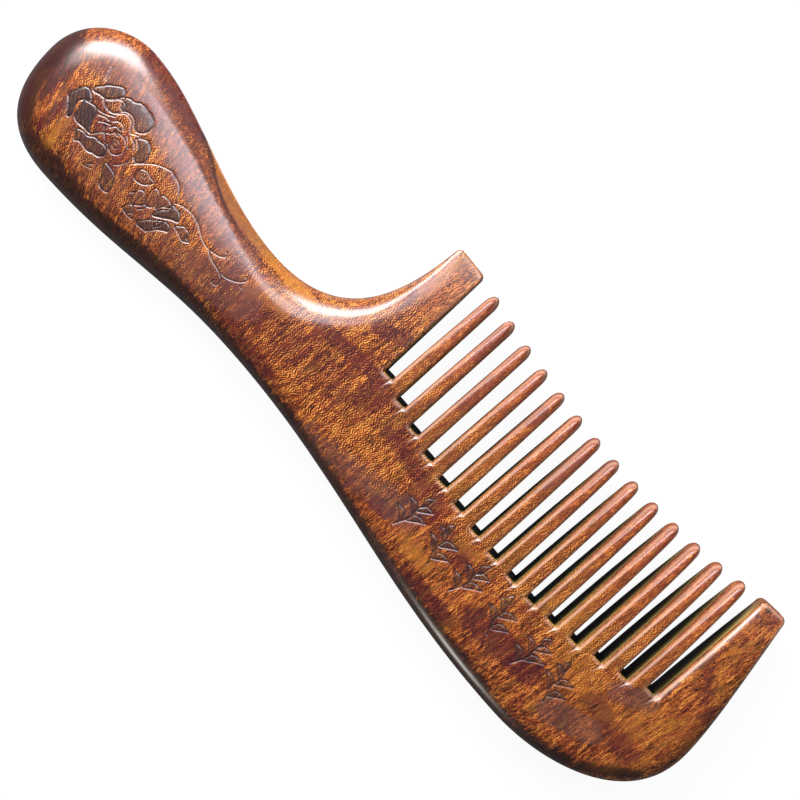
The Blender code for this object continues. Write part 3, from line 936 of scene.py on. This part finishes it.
# %% [markdown]
# ## Board and teeth as separate pieces
#
# On the comb the teeth are let into the back and dressed flush, so the surface runs on without a
# step. The triangles are sorted into the board and the 14 teeth along the root line, and each
# piece is closed with its own wall and end face, so that every tooth is a piece of its own.

# %% Sort the triangles
sharp_degrees = 70


def owner_of(points, faces):
    """0 for the board, and 1 to 14 for the teeth."""
    middle = points[faces].mean(axis=1)
    number = np.floor((middle[:, 0] - tooth_centre(0) + tooth_pitch / 2) / tooth_pitch).astype(int)
    above = middle[:, 1] > root_height(middle[:, 0])
    in_row = (number >= 0) & (number < tooth_count)
    return np.where(above & in_row, number + 1, 0)


top_owner = owner_of(top_points, top_faces)
under_owner = owner_of(under_points, under_faces)
wall_owner = np.zeros(n, int)
for k, (start, end) in enumerate(tooth_ends):
    wall_owner[start:end] = k + 1


def piece_mesh(name, number):
    """One closed mesh from the face, the underside, the walls between them and the seams."""
    top = top_faces[top_owner == number]
    under = under_faces[under_owner == number][:, ::-1] + starts[3]
    polygons = [tuple(map(int, face)) for face in np.vstack([top, under])]
    for i in np.where(wall_owner == number)[0]:
        j = (i + 1) % n
        for upper, lower in zip((0, 1, 2), (1, 2, 3)):
            a, b = starts[upper], starts[lower]
            polygons.append(tuple(map(int, (a + j, a + i, b + i, b + j))))
    for k, seam in enumerate(seams):
        if number not in (0, k + 1):
            continue
        for i, j in zip(seam, seam[1:]):
            face = (i, j, starts[3] + j, starts[3] + i)
            polygons.append(tuple(map(int, face if number else face[::-1])))
    used = sorted({i for polygon in polygons for i in polygon})
    index = {old: new for new, old in enumerate(used)}
    mesh = bpy.data.meshes.new(name)
    mesh.from_pydata(vertices[used].tolist(), [], [[index[i] for i in polygon] for polygon in polygons])
    for label, mask in masks.items():
        values = mesh.attributes.new(label, "FLOAT", "POINT").data
        values.foreach_set("value", mask[used].astype(np.float32))
    mesh.shade_smooth()
    mesh.set_sharp_from_angle(angle=math.radians(sharp_degrees))
    mesh.update()
    return mesh


def new_object(name, data):
    made = bpy.data.objects.new(name, data)
    bpy.context.scene.collection.objects.link(made)
    return made


def add_piece(mesh, material, node):
    piece = new_object(mesh.name, mesh)
    mesh.materials.append(material)
    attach(piece, "root")
    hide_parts(node)


board_mesh = piece_mesh("waxed_board", 0)
tooth_meshes = [piece_mesh(f"waxed_tooth_{k + 1:02d}", k + 1) for k in range(tooth_count)]
print("board faces:", len(board_mesh.polygons), "tooth faces:", len(tooth_meshes[0].polygons))

# %% [markdown]
# ## The wood
#
# The comb is a dense red-brown hardwood with interlocked fibres, rubbed with oil and wax. Close up
# it shows short golden dashes where the fibres turn towards the light, dark pores between them,
# amber and olive streaks, and broad maroon flames. All of it follows the fibres, which run across
# the comb, in line with the teeth, and lean a little on the handle. A photograph could be wrapped
# over the comb, but it would stretch at the edges and stop at the teeth. Noise that is stretched
# along the fibres runs through the whole board, as wood does. Each kind of mark is one group of
# nodes with named inputs, built once here and placed with its own sizes in both materials.


# %% Helpers for nodes
def new_group(name, inputs, outputs):
    tree = bpy.data.node_groups.new(name, "ShaderNodeTree")
    for label, kind, value in inputs:
        socket = tree.interface.new_socket(label, in_out="INPUT", socket_type=kind)
        if value is not None:
            socket.default_value = value
    for label, kind in outputs:
        tree.interface.new_socket(label, in_out="OUTPUT", socket_type=kind)
    return tree, tree.nodes.new("NodeGroupInput").outputs, tree.nodes.new("NodeGroupOutput").inputs


def add_node(tree, kind, inputs=None, **settings):
    """A node with its settings. Inputs are values, or sockets to link from."""
    node = tree.nodes.new(kind)
    for label, value in settings.items():
        setattr(node, label, value)
    for label, value in (inputs or {}).items():
        if isinstance(value, bpy.types.NodeSocket):
            tree.links.new(value, node.inputs[label])
        else:
            node.inputs[label].default_value = value
    return node


def sums(tree, operation, first, second, clamp=False):
    """One sum on two values."""
    inputs = {0: first, 1: second}
    return add_node(tree, "ShaderNodeMath", inputs, operation=operation, use_clamp=clamp).outputs[0]


def vector_sums(tree, operation, first, second):
    return add_node(tree, "ShaderNodeVectorMath", {0: first, 1: second}, operation=operation).outputs[0]


def eased(tree, value, low, high, low_result=0.0, high_result=1.0):
    """Goes smoothly from one result to the other while the value goes from low to high."""
    inputs = {"Value": value, "From Min": low, "From Max": high}
    inputs |= {"To Min": low_result, "To Max": high_result}
    return add_node(tree, "ShaderNodeMapRange", inputs, interpolation_type="SMOOTHSTEP").outputs[0]


def place_group(tree, group, inputs):
    return add_node(tree, "ShaderNodeGroup", inputs, node_tree=group).outputs[0]


FLOAT, VECTOR = "NodeSocketFloat", "NodeSocketVector"
print("helpers for nodes:", [helper.__name__ for helper in (new_group, add_node, sums, eased, place_group)])

# %% Group: where a point lies among the fibres, in mm
handle_x, back_x = -80, -20
fibres, given, result = new_group(
    "fibre places",
    [
        ("Vector", VECTOR, None), ("Handle Lean", FLOAT, -0.34), ("Back Lean", FLOAT, 0.08),
        ("Waviness", FLOAT, 1.6),
    ],
    [("Vector", VECTOR)],
)
in_mm = vector_sums(fibres, "MULTIPLY", given["Vector"], (1000, 1000, 1000))
split = add_node(fibres, "ShaderNodeSeparateXYZ", {0: in_mm}).outputs
lean = eased(fibres, split["X"], handle_x, back_x, given["Handle Lean"], given["Back Lean"])
across = sums(fibres, "SUBTRACT", split["X"], sums(fibres, "MULTIPLY", split["Y"], lean))
wander = add_node(fibres, "ShaderNodeTexNoise", {"Vector": in_mm, "Scale": 0.11, "Detail": 2.0})
sway = sums(fibres, "SUBTRACT", wander.outputs["Fac"], 0.5)
sway = sums(fibres, "MULTIPLY", sway, given["Waviness"])
across = sums(fibres, "ADD", across, sway)
joined = add_node(fibres, "ShaderNodeCombineXYZ", {"X": across, "Y": split["Y"], "Z": split["Z"]})
fibres.links.new(joined.outputs[0], result["Vector"])
print("group:", fibres.name, "nodes:", len(fibres.nodes))

# %% Group: noise stretched along the fibres
stretched, given, result = new_group(
    "stretched noise",
    [
        ("Vector", VECTOR, None), ("Width", FLOAT, 1.0), ("Length", FLOAT, 4.0), ("Depth", FLOAT, 1.0),
        ("Detail", FLOAT, 2.0), ("Distortion", FLOAT, 0.5), ("Low", FLOAT, 0.4), ("High", FLOAT, 0.6),
    ],
    [("Mask", FLOAT)],
)
sides = {"X": given["Width"], "Y": given["Length"], "Z": given["Depth"]}
scale = add_node(stretched, "ShaderNodeCombineXYZ", sides).outputs[0]
divided = vector_sums(stretched, "DIVIDE", given["Vector"], scale)
noise = add_node(
    stretched, "ShaderNodeTexNoise",
    {
        "Vector": divided, "Scale": 1.0, "Detail": given["Detail"],
        "Distortion": given["Distortion"], "Roughness": 0.6,
    },
)
stretched.links.new(eased(stretched, noise.outputs["Fac"], given["Low"], given["High"]), result["Mask"])
print("group:", stretched.name, "nodes:", len(stretched.nodes))

# %% Group: short dashes side by side, where fibres turn towards the light
dash_slant, dash_shortness, dash_climb = 0.6, 1.35, 0.8
dashes, given, result = new_group(
    "fibre dashes",
    [
        ("Vector", VECTOR, None), ("Count Per Mm", FLOAT, 1.0), ("Order", FLOAT, 0.5),
        ("Low", FLOAT, 0.24), ("High", FLOAT, 0.76),
    ],
    [("Mask", FLOAT)],
)
split = add_node(dashes, "ShaderNodeSeparateXYZ", {"Vector": given["Vector"]}).outputs
across = sums(dashes, "ADD", split["X"], sums(dashes, "MULTIPLY", split["Z"], dash_slant))
along = sums(dashes, "MULTIPLY", split["Y"], dash_shortness)
along = sums(dashes, "SUBTRACT", along, sums(dashes, "MULTIPLY", split["Z"], dash_climb))
flat_place = add_node(dashes, "ShaderNodeCombineXYZ", {"X": across, "Y": along}).outputs[0]
ripples = add_node(
    dashes, "ShaderNodeTexGabor",
    {
        "Vector": flat_place, "Scale": given["Count Per Mm"], "Frequency": 2.0,
        "Anisotropy": given["Order"], 4: 0.0,
    },
    gabor_type="2D",
)
dashes.links.new(eased(dashes, ripples.outputs["Value"], given["Low"], given["High"]), result["Mask"])
print("group:", dashes.name, "nodes:", len(dashes.nodes))

# %% Group: a band of the figure, broken up along the fibres
break_up = (1.4, 0.24, 0.5)
broken, given, result = new_group(
    "broken band",
    [
        ("Vector", VECTOR, None), ("Band", FLOAT, 0.0), ("Breakup", FLOAT, 0.8),
        ("Low", FLOAT, 0.3), ("High", FLOAT, 0.7),
    ],
    [("Mask", FLOAT)],
)
shorter = vector_sums(broken, "MULTIPLY", given["Vector"], break_up)
ragged = add_node(
    broken, "ShaderNodeTexNoise", {"Vector": shorter, "Scale": 1.0, "Detail": 3.0, "Roughness": 0.6}
).outputs["Fac"]
uneven = sums(broken, "MULTIPLY", sums(broken, "SUBTRACT", ragged, 0.5), given["Breakup"])
gated = sums(broken, "MULTIPLY", uneven, sums(broken, "GREATER_THAN", given["Band"], 0.001))
reached = sums(broken, "ADD", given["Band"], gated)
broken.links.new(eased(broken, reached, given["Low"], given["High"]), result["Mask"])
print("node groups:", [group.name for group in bpy.data.node_groups])

# %% [markdown]
# ## The two materials
#
# Board and teeth are the same wood, so one function lays down the same layers and colours for both,
# and the figure runs on over the seams. The board adds its carving, whose hatched petals are
# darkened by the burning, and the nicks, whose wall that faces the window lamp is painted pale as a
# highlight. The teeth are redder and speckled towards their tips, where hair has rubbed them, and
# more olive at their roots. Edges that hands and hair wear most are rubbed pale, and on the edges
# that face the window lamp this pale colour is partly a painted highlight. Inside the gaps the saw
# and the file left the wood bare, and painted shade makes it golden near the face and close to black
# below. The wax is a thin clear coat over the wood, with its constants on the shader's own sockets.

# %% Colours of the wood, from dark pores to golden dashes, and of its streaks and bands
grain_colours = (
    (0.00, (0.018, 0.004, 0.002, 1)), (0.34, (0.120, 0.022, 0.007, 1)),
    (0.66, (0.500, 0.125, 0.021, 1)), (1.00, (0.980, 0.420, 0.080, 1)),
)
amber = (0.540, 0.200, 0.025, 1)
olive = (0.300, 0.150, 0.025, 1)
rosy = (0.280, 0.042, 0.020, 1)
maroon = (0.105, 0.012, 0.020, 1)
# dusky tone, and along the handle and the spine a painted mauve sheen
dusk_and_sheen = (0.190, 0.085, 0.070, 1)
# the colour of painted shade on rims that face away from the lamps
rim_shade_brown = (0.034, 0.011, 0.005, 1)
print("colours of the grain:", len(grain_colours))

# %% Colours of the carving, the nick highlight, the worn edges with their painted highlight, and the painted shade of the gap walls, which goes by depth
burnt = (0.034, 0.018, 0.018, 1)
nick_highlight_colour = (0.85, 0.62, 0.54, 1)
pale_wear_and_highlight = (0.86, 0.58, 0.42, 1)
polished = (0.62, 0.16, 0.06, 1)
# painted light and shade on the gap walls, by depth from the face
gap_shade_full_depth = 8.0
gap_wall_shade_colours = (
    (0.00, (0.780, 0.560, 0.200, 1)), (0.26, (0.470, 0.350, 0.075, 1)),
    (0.46, (0.090, 0.075, 0.014, 1)), (0.62, (0.002, 0.002, 0.001, 1)),
)
print("the walls of the gaps are darkest from", gap_wall_shade_colours[-1][0] * gap_shade_full_depth, "mm down")


# %% Helpers for the layers
def scaled(tree, mask, share):
    return sums(tree, "MULTIPLY", mask, share)


def mixed(tree, factor, first, second):
    return add_node(tree, "ShaderNodeMix", {0: factor, 6: first, 7: second}, data_type="RGBA").outputs[2]


def layer(tree, vector, size, low, high, detail=2.0, distortion=0.5):
    width, length, depth = size
    sockets = {"Vector": vector, "Width": width, "Length": length, "Depth": depth}
    return place_group(
        tree, stretched, {**sockets, "Low": low, "High": high, "Detail": detail, "Distortion": distortion}
    )


def value_of(tree, name):
    """A mask that was kept on the mesh's points."""
    return add_node(tree, "ShaderNodeAttribute", attribute_name=name).outputs["Fac"]


def band(tree, vector, name, breakup=0.9, low=0.25, high=0.6):
    sockets = {"Vector": vector, "Band": value_of(tree, name)}
    return place_group(tree, broken, {**sockets, "Breakup": breakup, "Low": low, "High": high})


def ramped(tree, value, stops):
    ramp = add_node(tree, "ShaderNodeValToRGB", {"Fac": value})
    while len(ramp.color_ramp.elements) < len(stops):
        ramp.color_ramp.elements.new(0.5)
    for stop, (position, colour) in zip(ramp.color_ramp.elements, stops):
        stop.position, stop.color = position, colour
    return ramp.outputs["Color"]


print("helpers for layers:", [helper.__name__ for helper in (scaled, mixed, layer, value_of, band, ramped)])

# %% The layers of the wood
plain_level, dash_strength = 0.47, 0.62
liveliness, calming = 1.5, 1.15
base_roughness, dash_smoothness = 0.42, 0.1
fleck_height = 1.1


def wood_material(name):
    """The shared layers. Returns the material with the sockets that board and teeth add to."""
    material = bpy.data.materials.new(name)
    material.use_nodes = True
    tree = material.node_tree
    place = add_node(tree, "ShaderNodeTexCoord").outputs["Object"]
    vector = place_group(tree, fibres, {"Vector": place})
    grain = place_group(tree, dashes, {"Vector": vector})
    flecks = layer(tree, vector, (0.2, 1.0, 0.4), 0.37, 0.63, 1.0, 0.8)
    streaks = layer(tree, vector, (0.8, 7.0, 1.0), 0.36, 0.64, 3.0, 0.8)
    flames = layer(tree, vector, (3.2, 11.0, 3.0), 0.48, 0.68, 3.0, 1.2)
    olive_streaks = layer(tree, vector, (1.5, 9.0, 2.0), 0.50, 0.70, 2.0, 0.8)
    calm = band(tree, vector, "calm", 0.5, 0.1, 0.9)
    golden = band(tree, vector, "amber")
    reds = band(tree, vector, "maroon", 1.1)
    dusky_and_sheen = band(tree, vector, "dusk_and_sheen", 1.0)
    dark = band(tree, vector, "dark")

    # brightness: the dashes are weaker where the figure is calm
    lively = sums(tree, "SUBTRACT", liveliness, scaled(tree, calm, calming))
    level = scaled(tree, scaled(tree, sums(tree, "SUBTRACT", grain, 0.5), dash_strength), lively)
    for mask, lift in ((flecks, 0.44), (streaks, 0.36)):
        level = sums(tree, "ADD", level, scaled(tree, sums(tree, "SUBTRACT", mask, 0.5), lift))
    # the dark band darkens as painted shade, and the dusky band is partly a painted sheen
    for mask, fall in ((reds, 0.20), (flames, 0.07), (dusky_and_sheen, 0.10), (dark, 0.36)):
        level = sums(tree, "SUBTRACT", level, scaled(tree, mask, fall))
    colour = ramped(tree, sums(tree, "ADD", level, plain_level, clamp=True), grain_colours)
    for mask, share, tint in (
        (golden, 0.60, amber), (olive_streaks, 0.28, olive), (flames, 0.34, rosy),
        (reds, 0.40, maroon), (dusky_and_sheen, 0.35, dusk_and_sheen), (dark, 0.58, rim_shade_brown),
    ):
        colour = mixed(tree, scaled(tree, mask, share), colour, tint)

    shader = tree.nodes["Principled BSDF"]
    shader.inputs["Specular IOR Level"].default_value = 0.2
    shader.inputs["Coat Roughness"].default_value = 0.24
    shader.inputs["Coat Weight"].default_value = 1.0
    shader.inputs["Coat IOR"].default_value = 1.65
    return SimpleNamespace(
        material=material, tree=tree, shader=shader, place=place, vector=vector, colour=colour,
        rough=sums(tree, "SUBTRACT", base_roughness, scaled(tree, grain, dash_smoothness)),
        height=scaled(tree, flecks, sums(tree, "SUBTRACT", fleck_height, calm)),
    )


print("plain level of the grain:", plain_level, "from 0, dark, to 1, golden")

# %% Worn edges with their painted highlight, painted shade on the walls of the gaps, and the fine relief
wear_and_highlight_share, gap_shade_start, relief_height = 0.75, 2.5, 0.00006


def finish_wood(wood):
    tree = wood.tree
    # pale worn edges, partly a painted highlight on the edges that face the window lamp
    colour = mixed(tree, scaled(tree, value_of(tree, "wear_and_highlight"), wear_and_highlight_share), wood.colour, pale_wear_and_highlight)
    # painted light and shade on the walls of the gaps: gold near the face, nearly black further down
    deep = value_of(tree, "deep")
    wall = scaled(tree, value_of(tree, "gap"), sums(tree, "MULTIPLY", deep, gap_shade_start, clamp=True))
    painted_wall_shade = ramped(tree, sums(tree, "DIVIDE", deep, gap_shade_full_depth, clamp=True), gap_wall_shade_colours)
    colour = mixed(tree, wall, colour, painted_wall_shade)
    relief_inputs = {"Height": wood.height, "Strength": 0.2, "Distance": relief_height}
    relief = add_node(tree, "ShaderNodeBump", relief_inputs)
    tree.links.new(relief.outputs[0], wood.shader.inputs["Normal"])
    tree.links.new(colour, wood.shader.inputs["Base Color"])
    tree.links.new(wood.rough, wood.shader.inputs["Roughness"])
    print("material:", wood.material.name, "nodes:", len(tree.nodes))


print("share of the worn colour on the most worn edges:", wear_and_highlight_share)

# %% The board's material, with its carving
burn_least, burn_more, groove_share, nick_highlight_share = 0.68, 0.35, 0.9, 0.6
burn_roughness, burn_depth = 0.15, 1.5
wood = wood_material("oiled_board_wood")
tree = wood.tree
groove, hatching, nick_highlight = (value_of(tree, name) for name in ("groove", "hatching", "nick_highlight"))
hatch_lines = add_node(
    tree, "ShaderNodeTexWave", {"Vector": wood.place, "Scale": 560.0, "Distortion": 3.0, "Detail": 2.0},
    bands_direction="DIAGONAL",
).outputs["Fac"]
burn = scaled(tree, hatching, sums(tree, "ADD", scaled(tree, hatch_lines, burn_more), burn_least))
wood.colour = mixed(tree, burn, wood.colour, burnt)
wood.colour = mixed(tree, scaled(tree, groove, groove_share), wood.colour, burnt)
# the nicks' wall that faces the window lamp: a painted highlight
wood.colour = mixed(tree, scaled(tree, nick_highlight, nick_highlight_share), wood.colour, nick_highlight_colour)
wood.rough = sums(tree, "ADD", wood.rough, scaled(tree, hatching, burn_roughness), clamp=True)
wood.height = sums(tree, "SUBTRACT", wood.height, scaled(tree, burn, burn_depth))
finish_wood(wood)
board_wood = wood.material

# %% The teeth's material, polished towards the tips
polish_start_y, polish_end_y = -0.008, 0.024
polish_smoothness, tooth_coat = 0.05, 0.6
wood = wood_material("oiled_tooth_wood")
tree = wood.tree
y = add_node(tree, "ShaderNodeSeparateXYZ", {0: wood.place}).outputs["Y"]
polish = add_node(
    tree, "ShaderNodeMapRange", {"Value": y, "From Min": polish_start_y, "From Max": polish_end_y}
).outputs[0]
speckles = layer(tree, wood.vector, (0.40, 0.65, 0.4), 0.44, 0.56, 2.0, 0.8)
for mask, share, tint in (
    (sums(tree, "SUBTRACT", 1.0, polish), 0.22, olive),
    (polish, 0.18, polished),
    (scaled(tree, polish, speckles), 0.60, rosy),
):
    wood.colour = mixed(tree, scaled(tree, mask, share), wood.colour, tint)
wood.rough = sums(tree, "SUBTRACT", wood.rough, scaled(tree, polish, polish_smoothness))
wood.shader.inputs["Coat Weight"].default_value = tooth_coat
finish_wood(wood)
tooth_wood = wood.material

# %% Put the pieces in the scene
add_piece(board_mesh, board_wood, "comb_back")
for k, mesh in enumerate(tooth_meshes):
    add_piece(mesh, tooth_wood, f"tooth_{k + 1:02d}")
print("pieces:", 1 + len(tooth_meshes))

# %% [markdown]
# ## Camera
#
# The comb is seen almost straight from above, with its length running down to the right. A long
# lens far away would hide the sides of the teeth, so the camera is near enough to look a little
# way into the gaps at the far end.

# %% Camera
camera_place = (0.0126194, 0.0258235, 0.2605)
camera_turn = (-2.76597, 5.51640, 47.62587)
camera_data = bpy.data.cameras.new("camera")
camera_data.lens = 59.526
camera_data.sensor_width = 36
camera_data.clip_start = 0.01
camera = new_object("camera", camera_data)
camera.location = camera_place
camera.rotation_euler = [math.radians(angle) for angle in camera_turn]
bpy.context.scene.camera = camera
print("camera above the table, in mm:", round(1000 * camera_place[2], 1))

# %% [markdown]
# ## Floor
#
# The comb lies on a white table. The table is a plain matt sheet that keeps the soft shadow. A
# pale sheet would also throw light up into the gaps, which are dark on the real comb, so it is
# grey to everything but the camera. To the camera it glows, which takes it to white without more
# light on the comb.


# %% Floor
def by_camera(tree, for_others, for_camera):
    """One shader for the light that falls on the comb, and one for what the camera sees."""
    seen = add_node(tree, "ShaderNodeLightPath").outputs["Is Camera Ray"]
    inputs = {0: seen, 1: for_others.outputs[0], 2: for_camera.outputs[0]}
    return add_node(tree, "ShaderNodeMixShader", inputs).outputs[0]


floor_reach, floor_drop = 3, 0.0002
corner_ways = ((-1, -1), (1, -1), (1, 1), (-1, 1))
floor_corners = [(x * floor_reach, y * floor_reach, 0) for x, y in corner_ways]
floor_mesh = bpy.data.meshes.new("floor")
floor_mesh.from_pydata(floor_corners, [], [(0, 1, 2, 3)])
floor = new_object("floor", floor_mesh)
floor.location.z = -floor_drop
floor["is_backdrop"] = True
floor_material = bpy.data.materials.new("pale_table")
floor_material.use_nodes = True
tree = floor_material.node_tree
tree.nodes.clear()
matt = add_node(tree, "ShaderNodeBsdfDiffuse", {"Color": (0.12, 0.12, 0.12, 1)})
seen_matt = add_node(tree, "ShaderNodeBsdfDiffuse", {"Color": (0.07, 0.07, 0.07, 1)})
glow = add_node(tree, "ShaderNodeEmission", {"Color": (1, 1, 1, 1), "Strength": 0.95})
seen = add_node(tree, "ShaderNodeAddShader", {0: seen_matt.outputs[0], 1: glow.outputs[0]})
add_node(tree, "ShaderNodeOutputMaterial", {"Surface": by_camera(tree, matt, seen)})
floor_mesh.materials.append(floor_material)
print("floor side in m:", 2 * floor_reach)

# %% [markdown]
# ## Light
#
# Wax shows where every lamp stands, so each highlight on the comb asks for a lamp of its own. A
# large window lamp stands low beyond the upper side of the handle. It lights the whole comb and
# gives the sheen on the bulb, the neck and the left edges of the teeth. A soft lamp high up fills
# the face. A side lamp takes the black out of the bulb's end. Two small lamps are near enough to
# shine on one part alone: the handle lamp gives the cool sheen along the handle, and the low lamp
# draws the fine line along the spine. A picture of a room could do all this at once, but a lamp
# can be moved by itself until its highlight falls in place. The room adds a dim even light, and
# shows the camera plain white past the table.


# %% Lamps: direction, distance, size, power and colour
def add_lamp(name, direction, distance, size, power, colour):
    lamp = bpy.data.lights.new(name, "AREA")
    lamp.shape = "ELLIPSE"
    lamp.size, lamp.size_y = size
    lamp.energy = power
    lamp.color = colour
    obj = new_object(name, lamp)
    direction = Vector(direction).normalized()
    obj.location = direction * distance
    obj.rotation_euler = direction.to_track_quat("Z", "Y").to_euler()
    obj.visible_camera = False


for lamp_values in (
    ("window_lamp", (-0.675, 0.535, 0.510), 0.60, (0.50, 0.27), 5.4, (1.0, 0.97, 1.0)),
    ("soft_lamp", (0.10, 0.62, 0.78), 0.60, (0.28, 0.28), 1.2, (0.90, 0.92, 1.0)),
    ("handle_lamp", (-0.097, 0.097, 0.230), 0.268, (0.12, 0.12), 0.21, (0.90, 0.88, 1.0)),
    ("side_lamp", (-0.80, 0.12, 0.59), 0.60, (0.24, 0.24), 0.7, (1.0, 0.95, 0.93)),
    ("low_lamp", (0.236, -0.951, 0.20), 0.284, (0.05, 0.05), 0.07, (1.0, 0.98, 0.90)),
):
    add_lamp(*lamp_values)
print("lamps:", [lamp.name for lamp in bpy.data.lights])

# %% Room light
world = bpy.data.worlds.new("room")
bpy.context.scene.world = world
world.use_nodes = True
tree = world.node_tree
tree.nodes.clear()
dim = add_node(tree, "ShaderNodeBackground", {"Color": (0.9, 0.92, 1.0, 1), "Strength": 0.10})
white = add_node(tree, "ShaderNodeBackground", {"Color": (1, 1, 1, 1), "Strength": 1.0})
add_node(tree, "ShaderNodeOutputWorld", {"Surface": by_camera(tree, dim, white)})
bpy.context.scene.view_settings.view_transform = "Standard"
print("strength of the room light:", round(dim.inputs["Strength"].default_value, 2))

# %% The box of the finished comb, in mm
low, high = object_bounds()
print("box in mm:", [round(1000 * side, 2) for side in high - low])
